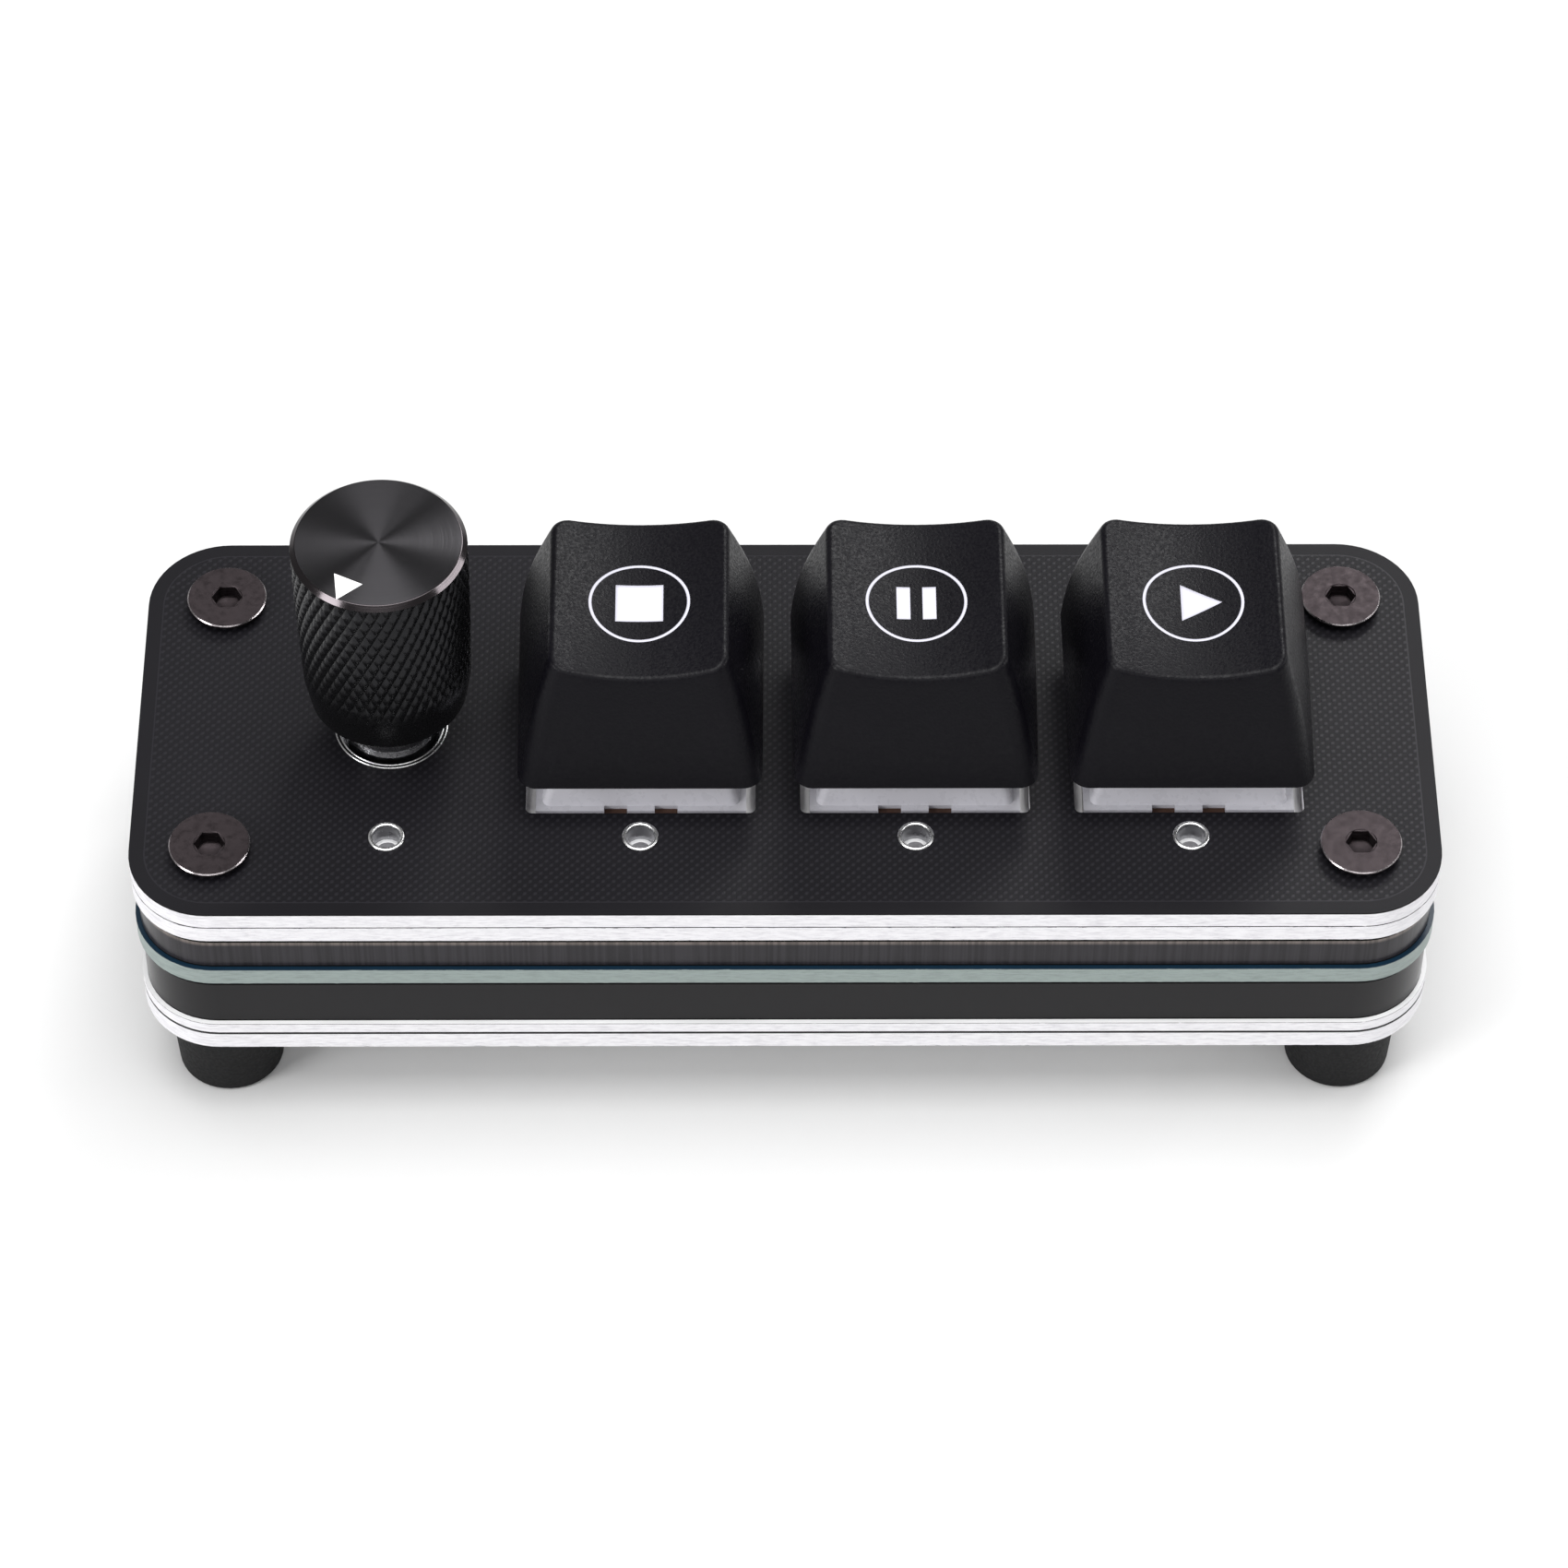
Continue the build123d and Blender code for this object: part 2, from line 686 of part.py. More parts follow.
def make_knob_shell():
    """Turned knob: plain collar, barrel that draws in towards it, chamfered face."""
    foot_r = knob_foot_d / 2
    neck_r = knob_collar_top_d / 2
    rim_r = knob_d / 2
    waist_r = knob_waist_d / 2
    barrel_z = knob_z + knob_collar_h
    waist_z = knob_z + knob_waist_h
    rim_z = knob_top - knob_rim_chamfer

    profile = Polyline(
        (0, knob_z),
        (foot_r - knob_foot_chamfer, knob_z),
        (foot_r, knob_z + knob_foot_chamfer),
        (neck_r, barrel_z),
        (waist_r, waist_z),
        (rim_r, rim_z),
        (rim_r - knob_rim_chamfer, knob_top),
        (0, knob_top),
        close=True,
    )
    body = revolve(Plane.XZ * make_face(profile), Axis.Z)
    body -= rod(2 * knob_bore_r, bore_top - knob_z, z=knob_z)
    body -= Pos(0, 0, knob_z + grub_height) * grub_bore()
    body -= Pos(0, 0, knob_top - pointer_depth) * extrude(pointer_outline(), pointer_depth)
    return Pos(knob_x) * body


def grub_bore():
    """Tapped hole from the knob's bore out through its back."""
    length = knob_d / 2
    return Pos(0, length / 2, 0) * Rot(90, 0, 0) * Cylinder(grub_d / 2 + grub_gap, length)


def pointer_outline():
    """Triangle near the rim of the knob's face."""
    centre = math.radians(pointer_angle)
    triangle = Triangle(a=pointer_base, b=math.hypot(pointer_length, pointer_base / 2),
                        c=math.hypot(pointer_length, pointer_base / 2))
    place = Pos(pointer_radius * math.cos(centre), pointer_radius * math.sin(centre))
    return place * Rot(0, 0, pointer_turn - 90) * triangle


def make_knob_pointer():
    """White enamel that fills the engraved triangle."""
    fill = extrude(pointer_outline(), pointer_depth)
    return Pos(knob_x, 0, knob_top - pointer_depth) * fill


def make_knob_grub_screw():
    """Socket set screw that bears on the shaft's flat."""
    screw = Cylinder(grub_d / 2, grub_length)
    socket = Pos(0, 0, (grub_length - grub_socket_depth) / 2)
    screw -= socket * extrude(hexagon(grub_socket_af), grub_socket_depth / 2, both=True)
    place = Pos(knob_x, shaft_flat + grub_length / 2, knob_z + grub_height)
    return place * Rot(-90, 0, 0) * screw


# ---------------------------------------------------------------------------
# Parts under and on the main board
# ---------------------------------------------------------------------------

def below_board(size, x, y):
    """Flat package soldered to the underside of the main board."""
    size_x, size_y, size_z = size
    return block(size_x, size_y, size_z, x, y, board_z - size_z)


def usb_profile(inset):
    """Stadium section of the socket, in the plane of its mouth."""
    width = usb_width - 2 * inset
    height = usb_height - 2 * inset
    return Plane.XZ * SlotOverall(width, height)


def make_usb_shell():
    """Drawn steel shell of the socket, closed at the back."""
    shell = extrude(usb_profile(0), usb_depth)
    hollow = extrude(usb_profile(usb_wall), usb_depth - usb_back_t)
    return Pos(usb_x, usb_mouth_y, usb_bottom + usb_height / 2) * (shell - hollow)


def make_usb_tongue():
    """Contact tongue that stands out of the socket's back wall."""
    tongue_y = usb_mouth_y - usb_depth + usb_back_t + usb_tongue_length / 2
    return block(usb_tongue_width, usb_tongue_length, usb_tongue_t,
                 usb_x, tongue_y, usb_bottom + (usb_height - usb_tongue_t) / 2)


def make_controller_chip():
    """Square package of the controller."""
    return below_board((controller_size, controller_size, controller_t),
                       controller_x, controller_y)


def make_matrix_diodes():
    """One diode in front of each switch."""
    return Compound([below_board(diode_size, x, diode_row_y) for x in key_xs])


def make_chip_capacitors():
    """Two capacitors on each side of the controller."""
    out_x = controller_size / 2 + capacitor_gap_x
    capacitors = []
    for x in (controller_x - out_x, controller_x + out_x):
        for y in (controller_y - capacitor_offset_y, controller_y + capacitor_offset_y):
            capacitors.append(below_board(capacitor_size, x, y))
    return Compound(capacitors)


def make_status_lights():
    """One small light on the board under each round hole."""
    lights = []
    for x, y in light_points():
        package = block(*light_size, x, y, board_top)
        lens = block(*light_lens, x, y, board_top + light_size[2])
        lights.append(package + lens)
    return Compound(lights)


# ---------------------------------------------------------------------------
# Nodes
# ---------------------------------------------------------------------------

def build_nodes():
    """Every node of the keypad by name."""
    nodes = {
        "faceplate": make_faceplate(),
        "faceplate_plating": make_faceplate_plating(),
        "switch_plate": make_switch_plate(),
        "upper_spacer": make_upper_spacer(),
        "main_board": make_main_board(),
        "lower_spacer": make_lower_spacer(),
        "base_plate_upper": make_base_plate(base_upper_z, base_upper_t),
        "base_plate_lower": make_base_plate(base_lower_z, base_lower_t),
        "case_screws": make_case_screws(),
        "case_nuts": make_case_nuts(),
        "feet": make_feet(),
        "encoder_base": make_encoder_base(),
        "encoder_frame": make_encoder_frame(),
        "encoder_rotor": make_encoder_rotor(),
        "encoder_shaft": make_encoder_shaft(),
        "encoder_plunger": make_encoder_plunger(),
        "encoder_dome": make_encoder_dome(),
        "encoder_pins": make_encoder_pins(),
        "knob_shell": make_knob_shell(),
        "knob_pointer": make_knob_pointer(),
        "knob_grub_screw": make_knob_grub_screw(),
        "usb_shell": make_usb_shell(),
        "usb_tongue": make_usb_tongue(),
        "controller_chip": make_controller_chip(),
        "clock_crystal": below_board(crystal_size, controller_x, crystal_y),
        "voltage_regulator": below_board(regulator_size, usb_x, regulator_y),
        "matrix_diodes": make_matrix_diodes(),
        "chip_capacitors": make_chip_capacitors(),
        "status_lights": make_status_lights(),
    }
    key_parts = {
        "switch_{}_lower_housing": make_lower_housing(),
        "switch_{}_upper_housing": make_upper_housing(),
        "switch_{}_stem": make_stem(),
        "switch_{}_spring": make_spring(),
        "switch_{}_contacts": make_contacts(),
        "keycap_{}": make_keycap(),
    }
    for number, x in enumerate(key_xs, start=1):
        for name, shape in key_parts.items():
            nodes[name.format(number)] = Pos(x) * shape
    return nodes


os.makedirs("parts", exist_ok=True)
for node_name, node_shape in build_nodes().items():
    export_step(node_shape, f"parts/{node_name}.step")
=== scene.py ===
"""Dressed model of a small desk keypad: finishes, fine pieces, floor, light and camera.

Everything is in metres in the keypad's own frame: +Z is up, +X runs along the row of keys
away from the knob, and the user sits at -Y.
"""
import logging
import math
from dataclasses import dataclass, replace
from enum import Enum
from functools import partial
from typing import Any, Callable

import bmesh
import bpy
from bpy.types import Material, Node, NodeSocket, NodeTree, Object
from mathutils import Matrix, Quaternion, Vector


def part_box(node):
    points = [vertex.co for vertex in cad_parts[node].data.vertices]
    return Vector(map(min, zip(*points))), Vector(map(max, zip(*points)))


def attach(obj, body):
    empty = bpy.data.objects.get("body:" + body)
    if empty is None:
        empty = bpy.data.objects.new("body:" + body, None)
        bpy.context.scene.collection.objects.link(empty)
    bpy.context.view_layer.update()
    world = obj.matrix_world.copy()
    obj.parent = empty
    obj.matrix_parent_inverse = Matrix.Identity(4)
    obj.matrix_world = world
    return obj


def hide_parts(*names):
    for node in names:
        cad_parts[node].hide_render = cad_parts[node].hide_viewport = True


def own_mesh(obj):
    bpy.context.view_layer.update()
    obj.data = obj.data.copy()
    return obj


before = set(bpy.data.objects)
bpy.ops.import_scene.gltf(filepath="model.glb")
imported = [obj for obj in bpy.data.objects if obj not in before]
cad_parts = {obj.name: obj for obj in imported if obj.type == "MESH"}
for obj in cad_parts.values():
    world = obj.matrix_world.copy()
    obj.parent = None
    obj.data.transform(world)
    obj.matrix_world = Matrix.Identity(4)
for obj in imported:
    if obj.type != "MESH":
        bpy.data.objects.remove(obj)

MM = 0.001
MERGE = 0.001 * MM
KEYS = (1, 2, 3)
ORIGIN = (0.0, 0.0, 0.0)
UP = (0.0, 0.0, 1.0)
LOG = logging.getLogger("keypad")

# Numbers of the two colour inputs of Blender's Mix node
MIX_A = 6
MIX_B = 7
# A noise texture hardly leaves these limits
NOISE_SPAN = {"From Min": 0.3, "From Max": 0.7}
# The limits of its darker half and of its middle
NOISE_LOWER = {"From Min": 0.3, "From Max": 0.55}
NOISE_MIDDLE = {"From Min": 0.35, "From Max": 0.65}
# The Z of a normal, above which a face slopes and above which it lies flat
SLOPED = 0.2
FLAT = 0.95

AddNode = Callable[..., Node]
Feeds = dict[str, Any]


# ---- Nodes and colours ----

def linear(code: str) -> tuple[float, float, float, float]:
    """Turns an sRGB hex colour into the linear colour that shaders take.

    Args:
        code: colour as "#rrggbb".

    Returns:
        Linear red, green, blue and an alpha of 1.
    """
    channels = []
    for start in (1, 3, 5):
        value = int(code[start:start + 2], 16) / 255
        channels.append(value / 12.92 if value <= 0.04045 else ((value + 0.055) / 1.055) ** 2.4)
    return (*channels, 1.0)


def feed(tree: NodeTree, node: Node, feeds: dict) -> None:
    """Sets or links a node's inputs.

    Args:
        tree: the node's tree.
        node: the node.
        feeds: input name or number to a value, a socket, or a node, which stands for the
            first of its outputs that is in use.
    """
    for socket, value in feeds.items():
        if isinstance(value, Node):
            value = next(output for output in value.outputs if output.enabled)
        if isinstance(value, NodeSocket):
            tree.links.new(value, node.inputs[socket])
        else:
            node.inputs[socket].default_value = value


def add_node(tree: NodeTree, kind: str, feeds: dict | None = None, **settings: Any) -> Node:
    """Adds one shader node with its settings and what feeds its inputs.

    Args:
        tree: node tree that gets the node.
        kind: Blender's name of the node type, after "ShaderNode", and for a sum its
            operation after a dot.
        feeds: what its inputs take, as in feed.
        settings: the node's other properties.

    Returns:
        The new node.
    """
    kind, _, operation = kind.partition(".")
    node = tree.nodes.new(f"ShaderNode{kind}")
    if operation:
        node.operation = operation
    for name, value in settings.items():
        setattr(node, name, value)
    feed(tree, node, feeds or {})
    return node


# ---- Finishes ----

@dataclass(frozen=True)
class Finish:
    """A surface with one base colour; the other finishes add a pattern to it."""

    name: str
    colour: str
    roughness: float
    metallic: float = 0.0
    ior: float = 1.5
    specular: float = 0.5

    def material(self) -> Material:
        """Builds the material with its pattern."""
        material = bpy.data.materials.new(self.name)
        material.use_nodes = True
        tree = material.node_tree
        shader = tree.nodes["Principled BSDF"]
        feed(tree, shader, {"Base Color": linear(self.colour), "Roughness": self.roughness,
                            "Metallic": self.metallic, "Specular IOR Level": self.specular})
        if not self.metallic:
            feed(tree, shader, {"IOR": self.ior})
        feed(tree, shader, self.pattern(partial(add_node, tree)))
        return material

    def pattern(self, add: AddNode) -> Feeds:
        """Builds the nodes of the pattern; a plain finish has none.

        Args:
            add: adds a node to the material.

        Returns:
            The shader's inputs and what feeds them.
        """
        return {}


@dataclass(frozen=True)
class Grained(Finish):
    """Moulded or cast surface: fine grain in the relief, slow drift in tone and gloss."""

    # Real grain is a few hundredths of a millimetre; it is drawn coarse enough to show
    grain: float = 0.2 * MM
    relief: float = 0.01 * MM
    drift: float = 6.0 * MM
    tone: float = 0.12
    gloss_spread: float = 0.08

    def pattern(self, add: AddNode) -> Feeds:
        """Adds grain to the relief and gloss, and drift to the colour.

        Args:
            add: adds a node to the material.

        Returns:
            The shader's inputs and what feeds them.
        """
        place = add("TexCoord").outputs["Object"]
        grain = add("TexNoise", {"Vector": place, "Scale": 1 / self.grain, "Detail": 2.0})
        drift = add("TexNoise", {"Vector": place, "Scale": 1 / self.drift, "Detail": 3.0})
        tone = add("MapRange", {
            "Value": drift, **NOISE_SPAN, "To Min": 1 - self.tone, "To Max": 1 + self.tone})
        return {
            "Base Color": add("VectorMath.SCALE", {0: linear(self.colour)[:3], "Scale": tone}),
            "Roughness": add("MapRange", {
                "Value": grain, **NOISE_SPAN, "To Min": self.roughness - self.gloss_spread,
                "To Max": self.roughness + self.gloss_spread}),
            "Normal": add("Bump", {"Height": grain, "Distance": self.relief}),
        }


@dataclass(frozen=True)
class AxialMetal(Finish):
    """Metal worked round an upright axis."""

    axis: tuple[float, float] = (0.0, 0.0)
    gloss_spread: float = 0.2

    def uneven_gloss(self, add: AddNode, texture: Node) -> Node:
        """Spreads the roughness, by a share of itself, along a texture.

        Args:
            add: adds a node to the material.
            texture: the texture's node.

        Returns:
            The node with the roughness.
        """
        return add("MapRange", {
            "Value": texture, **NOISE_SPAN, "To Min": (1 - self.gloss_spread) * self.roughness,
            "To Max": (1 + self.gloss_spread) * self.roughness})

    def from_axis(self, add: AddNode) -> Any:
        """Takes the object coordinates from the axis.

        Args:
            add: adds a node to the material.

        Returns:
            The sockets X, Y and Z.
        """
        centred = add("Mapping", {"Vector": add("TexCoord").outputs["Object"],
                                  "Location": (-self.axis[0], -self.axis[1], 0.0)})
        return add("SeparateXYZ", {"Vector": centred}).outputs


@dataclass(frozen=True)
class TurnedMetal(AxialMetal):
    """Metal cut on a lathe: fine rings round its axis, brushed highlights."""

    # A lathe tool leaves finer rings than these, which are drawn coarse enough to show
    ring: float = 0.12 * MM
    relief: float = 0.002 * MM
    anisotropic: float = 0.0

    def pattern(self, add: AddNode) -> Feeds:
        """Adds the tool's rings and turns the highlight along them.

        Args:
            add: adds a node to the material.

        Returns:
            The shader's inputs and what feeds them.
        """
        place = self.from_axis(add)
        flat = add("CombineXYZ", {"X": place["X"], "Y": place["Y"]})
        radius = add("VectorMath.LENGTH", {0: flat})
        profile = add("CombineXYZ", {"X": radius, "Z": place["Z"]})
        rings = add("TexNoise", {"Vector": profile, "Scale": 1 / self.ring, "Detail": 2.0})
        feeds = {
            "Roughness": self.uneven_gloss(add, rings),
            "Normal": add("Bump", {"Height": rings, "Distance": self.relief}),
        }
        if self.anisotropic:
            feeds["Anisotropic"] = self.anisotropic
            feeds["Anisotropic Rotation"] = 0.25
            feeds["Tangent"] = add("Tangent", direction_type="RADIAL", axis="Z")
        return feeds


@dataclass(frozen=True)
class ThreadedMetal(AxialMetal):
    """Metal with a rolled or cut thread on its upright walls."""

    gloss_spread: float = 0.25
    # The pitch of an M3 thread
    pitch: float = 0.5 * MM
    depth: float = 0.15 * MM
    speck: float = 0.15 * MM
    speck_share: float = 0.15
    wall_limit: float = 0.3

    def pattern(self, add: AddNode) -> Feeds:
        """Adds the helix as relief on walls that face sideways, and specks all over.

        Args:
            add: adds a node to the material.

        Returns:
            The shader's inputs and what feeds them.
        """
        coords, place = add("TexCoord").outputs, self.from_axis(add)
        angle = add("Math.ARCTAN2", {0: place["Y"], 1: place["X"]})
        climb = add("Math.MULTIPLY", {0: place["Z"], 1: 2 * math.pi / self.pitch})
        phase = add("Math.SUBTRACT", {0: climb, 1: angle})
        wave = add("Math.COSINE", {0: phase})
        facing = add("SeparateXYZ", {"Vector": coords["Normal"]}).outputs["Z"]
        upright = add("Math.ABSOLUTE", {0: facing})
        wall = add("Math.LESS_THAN", {0: upright, 1: self.wall_limit})
        thread = add("Math.MULTIPLY", {0: wave, 1: wall})
        speck = add("TexNoise", {
            "Vector": coords["Object"], "Scale": 1 / self.speck, "Detail": 3.0})
        relief = add("Math.MULTIPLY_ADD", {0: speck, 1: self.speck_share, 2: thread})
        return {
            "Roughness": self.uneven_gloss(add, speck),
            "Normal": add("Bump", {
                "Height": relief, "Distance": self.depth / 4, "Strength": 0.6}),
        }


@dataclass(frozen=True)
class Sheet(Finish):
    """A sheet whose edge differs from its faces, with the place of its outline."""

    low: float = 0.0
    high: float = 0.0
    half_length: float = 0.0
    half_width: float = 0.0


@dataclass(frozen=True)
class Board(Sheet):
    """Glass-epoxy circuit board: lacquered faces, milled edges that show the core.

    The lacquer may lie over hatched copper, which stands up as a slanted lattice inside a
    plain border.
    """

    core: str = "#e8e7ea"
    core_shade: str = "#c9c7cc"
    edge_roughness: float = 0.75
    # Glass yarns are finer than this; their bundles are drawn coarse enough to show
    streak: float = 1.3 * MM
    streak_flatness: float = 7.0
    # Dark lines at the edge's bottom and top: partly the lacquer's edge, partly painted shadow
    # of the joint
    seam_and_shadow: str = "#070708"
    low_seam_and_shadow: float = 0.03 * MM
    high_seam_and_shadow: float = 0.05 * MM
    low_seam_and_shadow_cover: float = 0.5
    high_seam_and_shadow_cover: float = 0.5
    seam_and_shadow_blur: float = 0.05
    face_limit: float = 0.5
    drift: float = 9.0 * MM
    tone: float = 0.1
    hatch: float = 0.0
    hatch_colour: str = "#222125"
    hatch_relief: float = 0.02 * MM
    hatch_lean: float = 0.65
    dot_crest: float = 0.95
    crest_gloss: float = 0.091
    valley_dulling: float = 0.039
    border: float = 1.1 * MM
    border_line: float = 0.1 * MM
    corner: float = 6.0 * MM

    def pattern(self, add: AddNode) -> Feeds:
        """Mixes the faces and the milled edge by the way that they look.

        Args:
            add: adds a node to the material.

        Returns:
            The shader's inputs and what feeds them.
        """
        coords = add("TexCoord").outputs
        facing = add("SeparateXYZ", {"Vector": coords["Normal"]}).outputs["Z"]
        upright = add("Math.ABSOLUTE", {0: facing})
        is_face = add("Math.GREATER_THAN", {0: upright, 1: self.face_limit})
        face = self.face(add, coords["Object"], is_face)
        return face | {
            "Base Color": add("Mix", {
                0: is_face, MIX_A: self.edge(add, coords["Object"]),
                MIX_B: face["Base Color"]}, data_type="RGBA"),
            "Roughness": add("MapRange", {
                "Value": is_face, "To Min": self.edge_roughness,
                "To Max": face["Roughness"]}),
        }

    def edge(self, add: AddNode, place: NodeSocket) -> Node:
        """Colours the milled edge: streaks along the glass layers, and at both faces a dark
        seam that is partly lacquer and partly painted shadow.

        Args:
            add: adds a node to the material.
            place: object coordinates.

        Returns:
            The node with the edge's colour.
        """
        height = add("SeparateXYZ", {"Vector": place}).outputs["Z"]
        layers = add("Mapping", {"Vector": place, "Scale": (1.0, 1.0, self.streak_flatness)})
        streak = add("TexNoise", {"Vector": layers, "Scale": 1 / self.streak,
                                  "Detail": 6.0, "Roughness": 0.75})
        share = add("MapRange", {"Value": streak, **NOISE_LOWER})
        core = add("Mix", {0: share, MIX_A: linear(self.core_shade),
                           MIX_B: linear(self.core)}, data_type="RGBA")
        seams_and_shadows = []
        for limit, side, cover in (
                (self.low + self.low_seam_and_shadow, "LESS_THAN", self.low_seam_and_shadow_cover),
                (self.high - self.high_seam_and_shadow, "GREATER_THAN", self.high_seam_and_shadow_cover)):
            band = add(f"Math.{side}", {0: height, 1: limit})
            # The streak's noise below which the seam and its painted shadow show
            level = NOISE_SPAN["From Min"] + 0.5 * cover
            covered = add("MapRange", {"Value": streak, "From Min": level,
                                       "From Max": level - self.seam_and_shadow_blur})
            seams_and_shadows.append(add("Math.MULTIPLY", {0: band, 1: covered}))
        seam_and_shadow = add("Math.MAXIMUM", {0: seams_and_shadows[0], 1: seams_and_shadows[1]})
        return add("Mix", {0: seam_and_shadow, MIX_A: core, MIX_B: linear(self.seam_and_shadow)}, data_type="RGBA")

    def face(self, add: AddNode, place: NodeSocket, is_face: Node) -> Feeds:
        """Colours the lacquered face, and raises and polishes the lattice under it.

        Args:
            add: adds a node to the material.
            place: object coordinates.
            is_face: 1 on the faces and 0 on the edges.

        Returns:
            The shader's inputs and what feeds them on a face.
        """
        drift = add("TexNoise", {"Vector": place, "Scale": 1 / self.drift, "Detail": 4.0})
        tone = add("MapRange", {
            "Value": drift, **NOISE_SPAN, "To Min": 1 - self.tone, "To Max": 1 + self.tone})
        plain = add("VectorMath.SCALE", {0: linear(self.colour)[:3], "Scale": tone})
        if not self.hatch:
            return {"Base Color": plain, "Roughness": self.roughness}

        turned = add("Mapping", {"Vector": place, "Rotation": (0.0, 0.0, math.radians(45)),
                                 "Scale": (2 * math.pi / self.hatch,) * 3})
        lattice = add("SeparateXYZ", {"Vector": turned}).outputs
        across, along = (add("Math.COSINE", {0: lattice[axis]}) for axis in "XY")
        waves = add("Math.MULTIPLY_ADD", {0: along, 1: self.hatch_lean, 2: across})
        dots = add("MapRange", {"Value": waves, "From Max": self.dot_crest + self.hatch_lean},
                   interpolation_type="SMOOTHSTEP")
        inside = self.inside(add, place)
        in_line, in_field = (
            add("Math.GREATER_THAN", {0: inside, 1: limit})
            for limit in (self.border, self.border + self.border_line))
        line = add("Math.SUBTRACT", {0: in_line, 1: in_field})
        raised = add("Math.MULTIPLY_ADD", {0: dots, 1: in_field, 2: line})
        height = add("Math.MULTIPLY", {0: raised, 1: is_face})
        return {
            "Base Color": add("Mix", {
                0: raised, MIX_A: plain, MIX_B: linear(self.hatch_colour)},
                data_type="RGBA"),
            "Roughness": add("MapRange", {
                "Value": raised, "To Min": self.roughness + self.valley_dulling,
                "To Max": self.roughness - self.crest_gloss}),
            "Normal": add("Bump", {
                "Height": height, "Distance": self.hatch_relief, "Strength": 0.5}),
        }

    def inside(self, add: AddNode, place: NodeSocket) -> Node:
        """Measures how far inside the rounded outline a point lies.

        Args:
            add: adds a node to the material.
            place: object coordinates.

        Returns:
            The node with the distance to the outline, positive inside.
        """
        mirrored = add("VectorMath.ABSOLUTE", {0: place})
        # The last size is a metre, so that height never counts
        straight = (self.half_length - self.corner, self.half_width - self.corner, 1.0)
        past = add("VectorMath.SUBTRACT", {0: mirrored, 1: straight})
        outer = add("VectorMath.MAXIMUM", {0: past, 1: ORIGIN})
        reach = add("VectorMath.LENGTH", {0: outer})
        sides = add("SeparateXYZ", {"Vector": past}).outputs
        larger = add("Math.MAXIMUM", {0: sides["X"], 1: sides["Y"]})
        inner = add("Math.MINIMUM", {0: larger, 1: 0.0})
        total = add("Math.ADD", {0: reach, 1: inner})
        return add("Math.SUBTRACT", {0: self.corner, 1: total})


@dataclass(frozen=True)
class CutAcrylic(Sheet):
    """Cast acrylic cut by laser: polished faces, upright striations on its edges."""

    # A painted strip of light on the edge, below its top
    painted_light: str = "#655d59"
    painted_light_height: float = 0.0
    painted_light_blur: float = 0.275 * MM
    # Painted shade: shadow under the sheet above at the top, contact shadow at the foot
    shade_height: float = 0.62 * MM
    shade_blur: float = 0.062 * MM
    foot_shadow_height: float = 0.14 * MM
    foot_shadow_blur: float = 0.028 * MM
    # A laser's pulses stand closer than this, and are drawn coarse enough to show
    striation: float = 0.26 * MM
    striation_flatness: float = 0.02
    relief: float = 0.01 * MM
    contrast: float = 0.2

    def pattern(self, add: AddNode) -> Feeds:
        """Adds the striations, a painted strip of light below the top, and painted shade at
        both ends: a shadow under the sheet above and a contact shadow at the foot.

        Args:
            add: adds a node to the material.

        Returns:
            The shader's inputs and what feeds them.
        """
        place = add("TexCoord").outputs["Object"]
        height = add("SeparateXYZ", {"Vector": place}).outputs["Z"]
        drawn_out = add("Mapping", {
            "Vector": place, "Scale": (1.0, 1.0, self.striation_flatness)})
        stripe = add("TexNoise", {
            "Vector": drawn_out, "Scale": 1 / self.striation, "Detail": 1.0})
        share = add("MapRange", {
            "Value": stripe, **NOISE_MIDDLE, "To Min": 1 - self.contrast,
            "To Max": 1 + self.contrast})
        # Painted shade darkens the foot and the top of the edge
        shaded_ends = [add("MapRange", {"Value": height, "From Min": joint, "From Max": joint + blur})
                for joint, blur in (
                    (self.low + self.foot_shadow_height, self.foot_shadow_blur),
                    (self.high - self.shade_height, -self.shade_blur))]
        unshaded = add("Math.MULTIPLY", {0: shaded_ends[0], 1: shaded_ends[1]})
        tone = add("Math.MULTIPLY", {0: share, 1: unshaded})
        body: Any = linear(self.colour)[:3]
        # Mixes in the painted strip of light
        if self.painted_light_height:
            foot = self.high - self.painted_light_height
            strip = add("MapRange", {
                "Value": height, "From Min": foot, "From Max": foot + self.painted_light_blur})
            body = add("Mix", {0: strip, MIX_A: linear(self.colour),
                               MIX_B: linear(self.painted_light)}, data_type="RGBA")
        return {
            "Base Color": add("VectorMath.SCALE", {0: body, "Scale": tone}),
            "Roughness": add("MapRange", {
                "Value": unshaded, "To Min": 1.0, "To Max": self.roughness}),
            "Normal": add("Bump", {"Height": stripe, "Distance": self.relief, "Strength": 0.6}),
        }


# ---- Modelling ----

def middle(node: str) -> Vector:
    """Middle of a CAD node's box."""
    return Vector([(low + high) / 2 for low, high in zip(*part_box(node))])


def deselect() -> None:
    """Leaves object mode with nothing selected."""
    if bpy.context.mode != "OBJECT":
        bpy.ops.object.mode_set(mode="OBJECT")
    bpy.ops.object.select_all(action="DESELECT")


def activate(piece: Object) -> None:
    """Makes one object the only selected one.

    Args:
        piece: the object.
    """
    deselect()
    piece.select_set(True)
    bpy.context.view_layer.objects.active = piece


def edit_all() -> None:
    """Enters edit mode with the whole mesh selected."""
    bpy.ops.object.mode_set(mode="EDIT")
    bpy.ops.mesh.select_all(action="SELECT")


def turn_outwards() -> None:
    """Makes all faces of the active mesh point outwards, in edit mode."""
    edit_all()
    bpy.ops.mesh.normals_make_consistent(inside=False)


